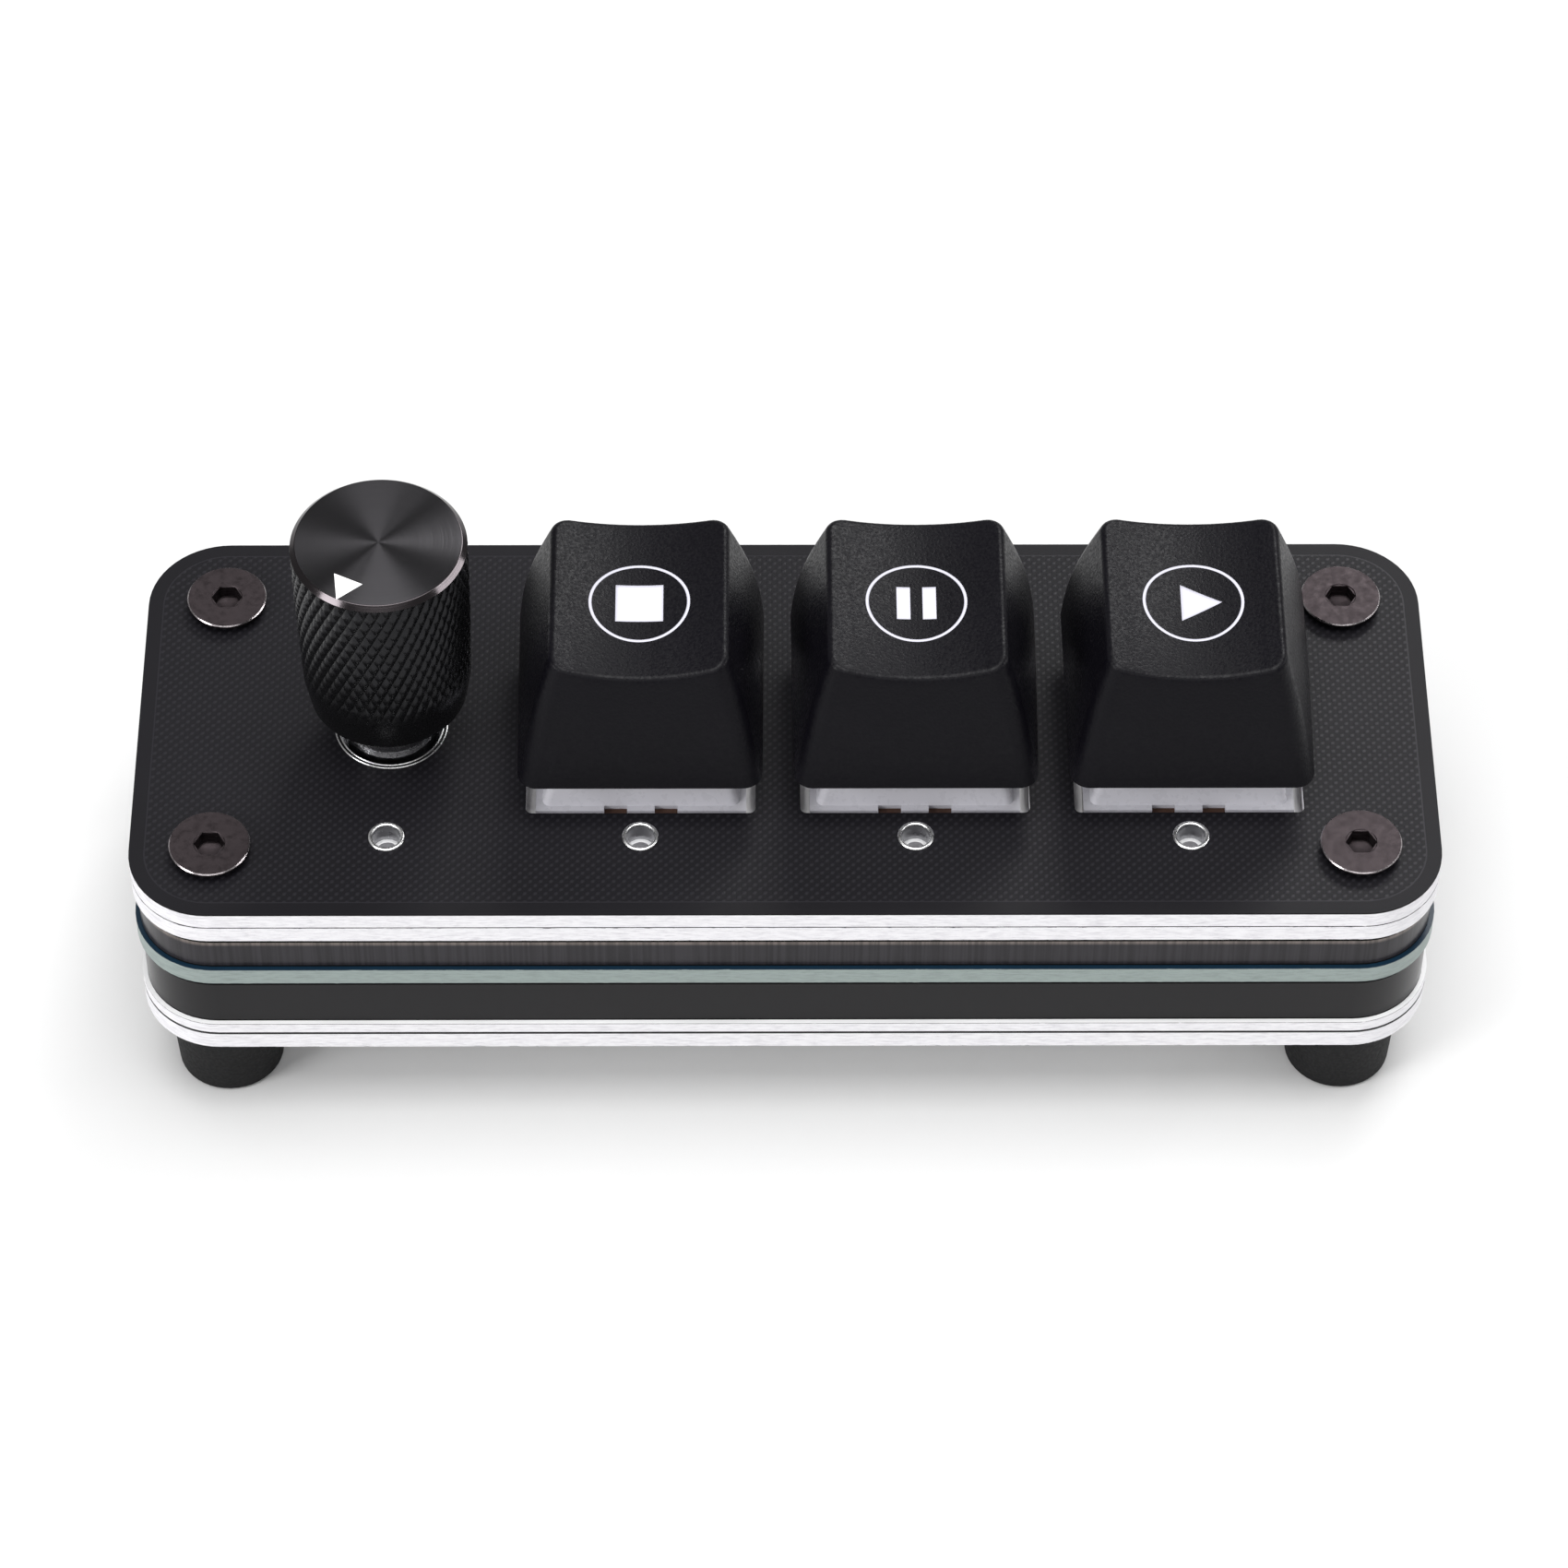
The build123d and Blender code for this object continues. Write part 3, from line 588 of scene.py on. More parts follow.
def draw_out(rise: float, scale: float, centre: Vector) -> None:
    """Extrudes what is selected and scales it across.

    Args:
        rise: how far it goes up.
        scale: its new size over its old one.
        centre: the point that it is scaled about.
    """
    bpy.ops.mesh.extrude_region_move(TRANSFORM_OT_translate={"value": (0.0, 0.0, rise)})
    bpy.ops.transform.resize(value=(scale, scale, 1.0), center_override=centre)


def pick(piece: Object, wanted: Callable[[Any], bool], kind: str) -> None:
    """Selects the vertices, edges or faces for which a test holds, and nothing else.

    Args:
        piece: the object in edit mode.
        wanted: the test.
        kind: "verts", "edges" or "faces".
    """
    mesh = bmesh.from_edit_mesh(piece.data)
    for group in (mesh.verts, mesh.edges, mesh.faces):
        for item in group:
            item.select = False
    for item in getattr(mesh, kind):
        if wanted(item):
            item.select_set(True)
    bmesh.update_edit_mesh(piece.data)


def pick_rims(piece: Object) -> None:
    """Selects the open rims of a mesh in edit mode."""
    pick(piece, lambda edge: edge.is_boundary, "edges")


def apply_modifier(piece: Object, kind: str, **settings: Any) -> None:
    """Adds a modifier to a piece and applies it.

    Args:
        piece: the object.
        kind: Blender's name of the modifier type.
        settings: the modifier's properties.
    """
    activate(piece)
    modifier = piece.modifiers.new(kind.title(), kind)
    for name, value in settings.items():
        setattr(modifier, name, value)
    bpy.ops.object.modifier_apply(modifier=modifier.name)


def carve(piece: Object) -> None:
    """Cuts the active closed shape out of a piece, and removes it.

    Args:
        piece: the object that is cut.
    """
    cutter = bpy.context.object
    apply_modifier(piece, "BOOLEAN", operation="DIFFERENCE", solver="EXACT", object=cutter)
    bpy.data.objects.remove(cutter)
    deselect()


def settle(piece: Object, smooth_below: float = 30.0) -> None:
    """Puts a piece's place into its mesh and shades it.

    Args:
        piece: the object.
        smooth_below: angle in degrees under which edges are shaded smooth.
    """
    activate(piece)
    bpy.ops.object.transform_apply(location=True, rotation=True, scale=True)
    bpy.ops.object.shade_smooth_by_angle(angle=math.radians(smooth_below))


def grow_rings(stations: list[tuple[float, float]], axis: Vector, sides: int,
               name: str) -> Object:
    """Turns a profile about an upright axis by drawing out one ring after another.

    Args:
        stations: radius and height of each ring, in order.
        axis: a point on the axis.
        sides: vertices in a ring.
        name: the new object's name.

    Returns:
        The open tube, in edit mode with its last ring selected.
    """
    deselect()
    bpy.ops.mesh.primitive_circle_add(vertices=sides, radius=stations[0][0],
                                      location=(axis.x, axis.y, stations[0][1]))
    piece = bpy.context.object
    piece.name = piece.data.name = name
    edit_all()
    for (radius, height), (next_radius, next_height) in zip(stations, stations[1:]):
        draw_out(next_height - height, next_radius / radius,
                 Vector((axis.x, axis.y, next_height)))
    return piece


def copy_piece(first: Object, name: str, shift: Vector) -> Object:
    """Copies a finished piece to another place, with a mesh of its own.

    Args:
        first: the piece.
        name: the copy's name.
        shift: the way from the piece to its copy.

    Returns:
        The copy.
    """
    piece = first.copy()
    piece.data = first.data.copy()
    piece.name = piece.data.name = name
    bpy.context.scene.collection.objects.link(piece)
    piece.data.transform(Matrix.Translation(shift))
    return piece


def take_solid(node: str, name: str) -> Object:
    """Copies a node's solid into a piece of its own and merges its vertices.

    Args:
        node: the node's name.
        name: the new piece's name.

    Returns:
        The copy, active and in object mode.
    """
    piece = bpy.data.objects.new(name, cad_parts[node].data.copy())
    piece.data.name = name
    bpy.context.scene.collection.objects.link(piece)
    activate(piece)
    bpy.ops.mesh.customdata_custom_splitnormals_clear()
    edit_all()
    bpy.ops.mesh.remove_doubles(threshold=MERGE)
    turn_outwards()
    deselect()
    return piece


def dress(piece: Object, *finishes: Finish | Material) -> None:
    """Gives an object its materials.

    Args:
        piece: the object.
        finishes: one finish or ready material for each material slot.
    """
    piece.data.materials.clear()
    for finish in finishes:
        material = finish.material() if isinstance(finish, Finish) else finish
        piece.data.materials.append(material)


def dress_nodes(finish: Finish, *nodes: str) -> None:
    """Gives CAD nodes one material between them.

    Args:
        finish: the finish.
        nodes: the nodes' names.
    """
    material = finish.material()
    for node in nodes:
        dress(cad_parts[node], material)


def flex(node: str, finish: Finish | Material) -> None:
    """Copies a springy node into a dressed piece of its own, attached to the case.

    Args:
        node: the springy node.
        finish: its finish.
    """
    piece = take_solid(node, f"{node}_flexing")
    settle(piece)
    dress(piece, finish)
    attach(piece, "case")
    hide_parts(node)
    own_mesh(piece)


# ---- The sandwich of sheets ----

class RingZone(Enum):
    """The three finishes of a tinned ring, by material slot."""

    BEAD = 0
    BORE = 1
    VALLEY = 2


@dataclass
class Sandwich:
    """The seven sheets with their tinned rings, and what they are made of."""

    ring_sides: int = 96
    bead_steps: int = 6
    bead: float = 0.12 * MM
    bead_foot: float = 0.15
    light_bore: float = 1.05 * MM
    light_ring: float = 1.35 * MM
    knob_bore: float = 3.85 * MM
    knob_ring: float = 4.25 * MM
    lining_wall: float = 0.12 * MM

    def build(self) -> None:
        """Dresses every sheet and models the tinned rings."""
        sheets: dict[str, Sheet] = {
            # Black solder lacquer: near-black, with the hatched copper standing up through it
            "faceplate": Board(
                "black_lacquered_glass_epoxy", "#111014", 0.4, specular=0.16,
                # Its dark lines at both faces: its black lacquer, deepened as painted shadow of
                # the joints
                hatch=0.54 * MM, low_seam_and_shadow=0.1 * MM, high_seam_and_shadow=0.14 * MM,
                low_seam_and_shadow_cover=0.75, high_seam_and_shadow_cover=1.0),
            # Blue solder lacquer: its rim shows as a dark line over a grey-green core
            "main_board": Board(
                "blue_lacquered_glass_epoxy", "#0c2739", 0.3, core="#8b9794",
                core_shade="#77827f", seam_and_shadow="#39434a", low_seam_and_shadow_cover=0.6, high_seam_and_shadow_cover=0.6,
                edge_roughness=0.5),
            # Smoked cast acrylic, laser cut: dark grey with upright striations, and a painted
            # tan strip of light below its top
            "upper_spacer": CutAcrylic(
                "smoked_cast_acrylic", "#252327", 0.28, specular=0.22,
                painted_light_height=1.1 * MM, contrast=0.3),
            # Black cast acrylic with a smooth polished edge, painted shade at both ends of it
            "lower_spacer": CutAcrylic(
                "black_cast_acrylic", "#121113", 0.2, specular=0.2, contrast=0.05,
                relief=0.002 * MM),
        }
        for node, low_seam_and_shadow, low_seam_and_shadow_cover, high_seam_and_shadow_cover in (
                ("switch_plate", 0.02, 0.3, 0.3), ("base_plate_upper", 0.2, 0.9, 0.7),
                ("base_plate_lower", 0.02, 0.35, 0.9)):
            # White solder lacquer: a bright face, and a pale streaked edge where it is milled;
            # its black lines at the joints are painted shadow
            sheets[node] = Board(
                f"white_lacquered_glass_epoxy_{node}", "#ededee", 0.35,
                low_seam_and_shadow=low_seam_and_shadow * MM, low_seam_and_shadow_cover=low_seam_and_shadow_cover, high_seam_and_shadow_cover=high_seam_and_shadow_cover)
        for node, finish in sheets.items():
            low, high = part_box(node)
            dress_nodes(replace(finish, low=low.z, high=high.z, half_length=high.x,
                                half_width=high.y), node)
        LOG.info("sandwich: %d sheets dressed", len(sheets))
        self.rings()

    def rings(self) -> None:
        """Models the tinned lining and bead of each round hole."""
        tin = [finish.material() for finish in (
            # Hot-tinned copper: a bright solder skin, drawn up into a bead round the hole
            Grained("hot_tinned_copper", "#fafafa", 0.28, metallic=1.0, grain=0.6 * MM,
                    relief=0.002 * MM, tone=0.04, gloss_spread=0.05),
            # The same skin down in the hole: duller, and darkened as painted shade of the hole
            Grained("tinned_bore_painted_shade", "#a0a0a3", 0.35, metallic=1.0, grain=0.3 * MM,
                    relief=0.006 * MM),
            # Black lacquer left between the two beads of solder
            Grained("black_lacquer_in_ring", "#131215", 0.5, specular=0.2, grain=0.3 * MM))]
        knob_x, row_y = middle("knob_shell").x, middle("status_lights").y
        pieces = [
            self.lining("knob_hole_lining", Vector((knob_x, 0.0, 0.0)), self.knob_bore,
                        self.knob_ring, 2, tin),
            self.lining("light_hole_lining_1", Vector((knob_x, row_y, 0.0)),
                        self.light_bore, self.light_ring, 1, tin)]
        for number in KEYS:
            shift = Vector((middle(f"keycap_{number}").x - knob_x, 0.0, 0.0))
            pieces.append(copy_piece(pieces[1], f"light_hole_lining_{number + 1}", shift))
        for piece in pieces:
            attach(piece, "case")
            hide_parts("faceplate_plating")
            LOG.info("%s modelled", piece.name)

    def lining(self, name: str, axis: Vector, bore: float, ring: float, beads: int,
               tin: list[Material]) -> Object:
        """Models one lining whose ring has one wide bead, or one bead at each edge.

        Args:
            name: the piece's name.
            axis: a point on the hole's axis.
            bore: inner radius.
            ring: outer radius of the bead.
            beads: 1 or 2.
            tin: its materials, in the order of RingZone.

        Returns:
            The finished lining.
        """
        low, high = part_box("faceplate_plating")
        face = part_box("faceplate")[1].z
        bead = self.bead if beads == 2 else ring - bore
        stations = [(bore, low.z)]
        for crest in (bore + bead / 2, ring - bead / 2)[:beads]:
            for step in range(self.bead_steps + 1):
                turn = math.pi * (1 - step / self.bead_steps)
                rise = self.bead_foot + (1 - self.bead_foot) * math.sin(turn)
                stations.append((crest + bead / 2 * math.cos(turn),
                                 face + (high.z - face) * rise))
        wall = bore + self.lining_wall
        stations += [(ring, face), (wall, face), (wall, low.z)]
        piece = grow_rings(stations, axis, self.ring_sides, name)
        pick_rims(piece)
        bpy.ops.mesh.bridge_edge_loops()
        turn_outwards()
        settle(piece, smooth_below=50.0)
        dress(piece, *tin)
        for polygon in piece.data.polygons:
            spread = (polygon.center - axis).xy.length
            zone = RingZone.BEAD
            # Faces below the sheet's face take the bore's painted shade
            if polygon.center.z < face:
                zone = RingZone.BORE
            elif bore + bead < spread < ring - bead:
                zone = RingZone.VALLEY
            polygon.material_index = zone.value
        return piece


# ---- Case screws, nuts and feet ----

@dataclass
class CaseFasteners:
    """Four countersunk socket screws, their nuts and the rubber feet over them."""

    head_radius: float = 3.0 * MM
    rim_height: float = 0.2 * MM
    rim_bevel: float = 0.08 * MM
    shank_radius: float = 1.5 * MM
    tip_chamfer: float = 0.35 * MM
    socket_across: float = 2.0 * MM
    socket_depth: float = 1.2 * MM
    socket_bevel: float = 0.04 * MM
    drill_radius: float = 0.92 * MM
    drill_depth: float = 0.45 * MM
    overcut: float = 0.2
    sides: int = 72
    drill_sides: int = 24

    def build(self) -> None:
        """Models the screws and dresses the nuts and feet."""
        low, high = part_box("case_screws")
        x, y = high.x - self.head_radius, high.y - self.head_radius
        places = [Vector((sx * x, sy * y, 0.0)) for sx in (-1, 1) for sy in (-1, 1)]
        first = self.screw(places[0], low.z, high.z)
        for number, place in enumerate(places, start=1):
            name = f"case_screw_{number}"
            piece = first if number == 1 else copy_piece(first, name, place - places[0])
            dress(
                piece,
                # Black-oxide steel: brown-black with a waxy sheen; the head's rim gets a
                # painted highlight
                ThreadedMetal(f"black_oxide_steel_{name}", "#3e383a", 0.46, metallic=1.0,
                              axis=tuple(place.xy), speck=0.5 * MM, speck_share=0.06),
                # Painted highlight on the head's rim: the same steel, made bright there
                Grained(f"painted_highlight_steel_{name}", "#a09a9c", 0.25, metallic=1.0))
            # Faces of the head's rim take the painted highlight
            for polygon in piece.data.polygons:
                polygon.material_index = int(
                    (polygon.center - place).xy.length > self.socket_across
                    and polygon.center.z > high.z - self.rim_bevel
                    and SLOPED < polygon.normal.z < FLAT)
            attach(piece, "case")
            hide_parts("case_screws")
            LOG.info("%s modelled", name)
        # Zinc-plated steel: pale blue-grey with a fine crystal grain
        dress_nodes(Grained("zinc_plated_steel", "#b9bdc2", 0.35, metallic=1.0,
                            grain=0.3 * MM), "case_nuts")
        # Natural rubber: matt black with a dusty grain
        dress_nodes(Grained("black_natural_rubber", "#101011", 0.7, specular=0.25,
                            grain=0.25 * MM, relief=0.02 * MM, tone=0.2), "feet")

    def screw(self, axis: Vector, low: float, high: float) -> Object:
        """Models one screw.

        Args:
            axis: a point on the screw's axis.
            low: height of its tip.
            high: height of its head's face.

        Returns:
            The finished screw.
        """
        under_head = high - self.rim_height - (self.head_radius - self.shank_radius)
        piece = grow_rings([
            (self.shank_radius - self.tip_chamfer, low),
            (self.shank_radius, low + self.tip_chamfer),
            (self.shank_radius, under_head),
            (self.head_radius, high - self.rim_height),
            (self.head_radius, high - self.rim_bevel),
            (self.head_radius - self.rim_bevel, high),
        ], axis, self.sides, "case_screw_1")
        bpy.ops.mesh.edge_face_add()
        pick_rims(piece)
        bpy.ops.mesh.edge_face_add()
        deselect()
        half_side = math.radians(30)
        corner_radius = self.socket_across / 2 / math.cos(half_side)
        bpy.ops.mesh.primitive_cylinder_add(
            vertices=6, radius=corner_radius, depth=2 * self.socket_depth,
            location=(axis.x, axis.y, high), rotation=(0, 0, half_side))
        carve(piece)
        bpy.ops.mesh.primitive_cone_add(
            vertices=self.sides, radius1=corner_radius - self.socket_bevel,
            radius2=corner_radius + 2 * self.socket_bevel, depth=3 * self.socket_bevel,
            location=(axis.x, axis.y, high))
        carve(piece)
        # The drilled cone is drawn out by its overcut, a share of it, above the socket's floor
        grown = 1 + self.overcut
        below = (grown / 2 - self.overcut) * self.drill_depth
        bpy.ops.mesh.primitive_cone_add(
            vertices=self.drill_sides, radius1=0.0, radius2=self.drill_radius * grown,
            depth=self.drill_depth * grown,
            location=(axis.x, axis.y, high - self.socket_depth - below))
        carve(piece)
        settle(piece)
        return piece


# ---- Knob and encoder ----

class KnobZone(Enum):
    """The three finishes of the knob, by material slot."""

    SIDE = 0
    CHAMFER = 1
    FACE = 2


@dataclass
class Knob:
    """Knurled knob with a spun face, on the shaft of its push encoder."""

    columns: int = 184
    diamonds: int = 46
    rows_per_diamond: int = 4
    diamond_height: float = 1.82 * MM
    groove: float = 0.19 * MM
    groove_share: float = 0.7
    cross_share: float = 0.62
    depth_steps: int = 4
    foot_radius: float = 5.85 * MM
    foot_chamfer: float = 0.2 * MM
    neck_radius: float = 6.2 * MM
    neck_height: float = 2.5 * MM
    rim_chamfer: float = 0.36 * MM
    rim_break: float = 0.02 * MM
    face_edge: float = 0.05 * MM
    knurl_start: float = 3.0 * MM
    knurl_gap: float = 0.1 * MM
    fade: float = 1.5 * MM
    bore_radius: float = 3.03 * MM
    bore_gap: float = 0.3 * MM
    grub_radius: float = 1.53 * MM
    grub_height: float = 4.6 * MM
    grub_sides: int = 48
    pointer_proud: float = 0.012 * MM

    def __post_init__(self) -> None:
        """Takes the knob's place and outer size from the frame."""
        low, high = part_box("knob_shell")
        self.low = low.z
        self.top = high.z - self.pointer_proud
        self.rim_radius = (high.x - low.x) / 2
        self.axis = Vector((*middle("knob_shell").xy, 0.0))
        self.row = self.diamond_height / self.rows_per_diamond
        self.rim = self.top - self.rim_chamfer - self.low
        rows = int((self.rim - self.knurl_start - self.knurl_gap) / self.row)
        self.first_row = self.low + self.knurl_start
        self.row_heights = [self.first_row + row * self.row for row in range(rows + 1)]

    def barrel_radius(self, height: float) -> float:
        """Radius of the barrel at a height.

        Args:
            height: the height.

        Returns:
            The radius on an arc that runs upright where it meets the rim.
        """
        rise = self.rim - self.neck_height
        draw_in = self.rim_radius - self.neck_radius
        arc = (rise ** 2 + draw_in ** 2) / (2 * draw_in)
        below_rim = self.low + self.rim - height
        return self.rim_radius - arc + math.sqrt(arc ** 2 - below_rim ** 2)

    def stations(self) -> list[tuple[float, float]]:
        """Radius and height of every ring from the foot to the face."""
        chamfer_top = self.rim_radius - self.rim_chamfer
        return [
            (self.foot_radius - self.foot_chamfer, self.low),
            (self.foot_radius, self.low + self.foot_chamfer),
            (self.neck_radius, self.low + self.neck_height),
            *((self.barrel_radius(height), height) for height in self.row_heights),
            (self.rim_radius - self.rim_break, self.top - self.rim_chamfer),
            (chamfer_top, self.top - self.rim_break),
            (chamfer_top - self.face_edge, self.top),
        ]

    def knurl(self, piece: Object) -> None:
        """Presses two crossing sets of helical grooves into the barrel.

        Args:
            piece: the knob, in edit mode.
        """
        low, high = self.row_heights[0] - MERGE, self.row_heights[-1] + MERGE
        origin = piece.matrix_world.translation.z
        pick(piece, lambda face: all(low < vert.co.z + origin < high for vert in face.verts),
             "faces")
        bpy.ops.mesh.poke()

        groups: dict[float, set[int]] = {}
        for vert in bmesh.from_edit_mesh(piece.data).verts:
            height = vert.co.z + origin - self.first_row
            if not low < vert.co.z + origin < high:
                continue
            turn = math.atan2(vert.co.y, vert.co.x) / (2 * math.pi)
            column, step = round(2 * turn * self.columns), round(2 * height / self.row)
            cut = max(0.0, 1 - self.wave(column - step) / self.groove_share,
                      self.cross_share * (1 - self.wave(column + step) / self.groove_share))
            fade = round(self.depth_steps * min(1.0, height / self.fade)) / self.depth_steps
            if cut * fade > 0:
                groups.setdefault(round(cut * fade, 3), set()).add(vert.index)
        for depth, members in groups.items():
            pick(piece, lambda vert: vert.index in members, "verts")
            scale = 1 - depth * self.groove / self.rim_radius
            bpy.ops.transform.resize(value=(scale, scale, 1.0),
                                     center_override=(self.axis.x, self.axis.y, origin))

    def wave(self, half_steps: float) -> float:
        """Height of one set of ridges.

        Args:
            half_steps: place across the ridges, in half columns.

        Returns:
            0 in a groove and 1 on a crest.
        """
        share = half_steps * self.diamonds / (2 * self.columns) % 1.0
        return 1 - abs(2 * share - 1)

    def build(self) -> None:
        """Models the knob and dresses the encoder."""
        piece = grow_rings(self.stations(), self.axis, self.columns, "knurled_knob")
        bpy.ops.mesh.edge_face_add()
        pick_rims(piece)
        draw_out(0.0, self.bore_radius / (self.foot_radius - self.foot_chamfer),
                 Vector((self.axis.x, self.axis.y, self.low)))
        bore_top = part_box("encoder_shaft")[1].z + self.bore_gap
        bpy.ops.mesh.extrude_region_move(
            TRANSFORM_OT_translate={"value": (0.0, 0.0, bore_top - self.low)})
        bpy.ops.mesh.edge_face_add()
        self.knurl(piece)
        turn_outwards()
        deselect()
        # The set screw's hole, from inside the bore out past the barrel
        near, far = 0.15 * self.rim_radius, 1.35 * self.rim_radius
        bpy.ops.mesh.primitive_cylinder_add(
            vertices=self.grub_sides, radius=self.grub_radius, depth=far - near,
            location=(self.axis.x, self.axis.y + (near + far) / 2,
                      self.low + self.grub_height),
            rotation=(math.radians(90), 0, 0))
        carve(piece)
        settle(piece, smooth_below=22.0)
        self.finish(piece)
        self.dress_encoder()
        LOG.info("knob modelled with %d faces, encoder dressed", len(piece.data.polygons))

    def finish(self, piece: Object) -> None:
        """Dresses the knob by zones.

        Args:
            piece: the finished knob.
        """
        axis = tuple(self.axis.xy)
        dress(
            piece,
            # Black anodised aluminium, knurled: satin, a little brighter on the crests
            Grained("black_anodised_knurl", "#232325", 0.3, metallic=0.85, grain=0.1 * MM,
                    relief=0.003 * MM),
            # Diamond-cut chamfer: near-mirror black anodising
            TurnedMetal("black_anodised_chamfer", "#423e40", 0.15, metallic=1.0, axis=axis),
            # Spun face: rings of the lathe tool draw the highlight into sectors
            TurnedMetal("black_anodised_spun_face", "#3b3a3c", 0.42, metallic=1.0,
                        axis=axis, ring=0.08 * MM, relief=0.0008 * MM, anisotropic=0.97))
        for polygon in piece.data.polygons:
            outward, level = polygon.normal.z, polygon.center.z
            zone = KnobZone.SIDE
            if level > self.top - MERGE and outward > FLAT:
                zone = KnobZone.FACE
            elif level > self.top - self.rim_chamfer and outward > SLOPED:
                zone = KnobZone.CHAMFER
            polygon.material_index = zone.value
        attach(piece, "knob")
        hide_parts("knob_shell")

    def dress_encoder(self) -> None:
        """Dresses the pointer, the set screw and the pieces of the encoder."""
        axis = tuple(self.axis.xy)
        # Baked enamel in the engraved triangle: flat white with a soft gloss
        dress_nodes(Grained("white_baked_enamel", "#f4f4f4", 0.4, grain=0.3 * MM,
                            relief=0.002 * MM, tone=0.02), "knob_pointer")
        # Black-oxide steel: brown-black with a satin sheen
        dress_nodes(Grained("black_oxide_steel_grub", "#3a3536", 0.35, metallic=1.0),
                    "knob_grub_screw")
        # Nickel-plated zinc casting: bright silver, with a cut thread on its bushing
        dress_nodes(ThreadedMetal("nickel_plated_zinc", "#b3b3b6", 0.2, metallic=1.0,
                                  axis=axis, pitch=0.75 * MM, depth=0.05 * MM),
                    "encoder_frame")
        # Nickel-plated brass, lathe turned: warm silver with fine rings
        dress_nodes(TurnedMetal("nickel_plated_brass", "#b5b2ab", 0.25, metallic=1.0,
                                axis=axis), "encoder_shaft")
        # Glass-filled nylon: black with a faint gloss
        dress_nodes(Grained("black_glass_filled_nylon", "#19191b", 0.45, grain=0.15 * MM),
                    "encoder_base", "encoder_rotor", "encoder_plunger", "usb_tongue")
        # Stainless spring steel: rolled bright and smooth
        flex("encoder_dome", Grained(
            "stainless_spring_steel", "#c2c2c2", 0.2, metallic=1.0, relief=0.002 * MM))
        # Tin-plated phosphor bronze: pale, faintly yellow and softly bright
        dress_nodes(Grained("tinned_phosphor_bronze", "#c3bfb6", 0.3, metallic=1.0),
                    "encoder_pins")


# ---- Keys ----

class Symbol(Enum):
    """What is printed inside the ring of each keycap, by the key's number."""

    STOP = 1
    PAUSE = 2
    PLAY = 3


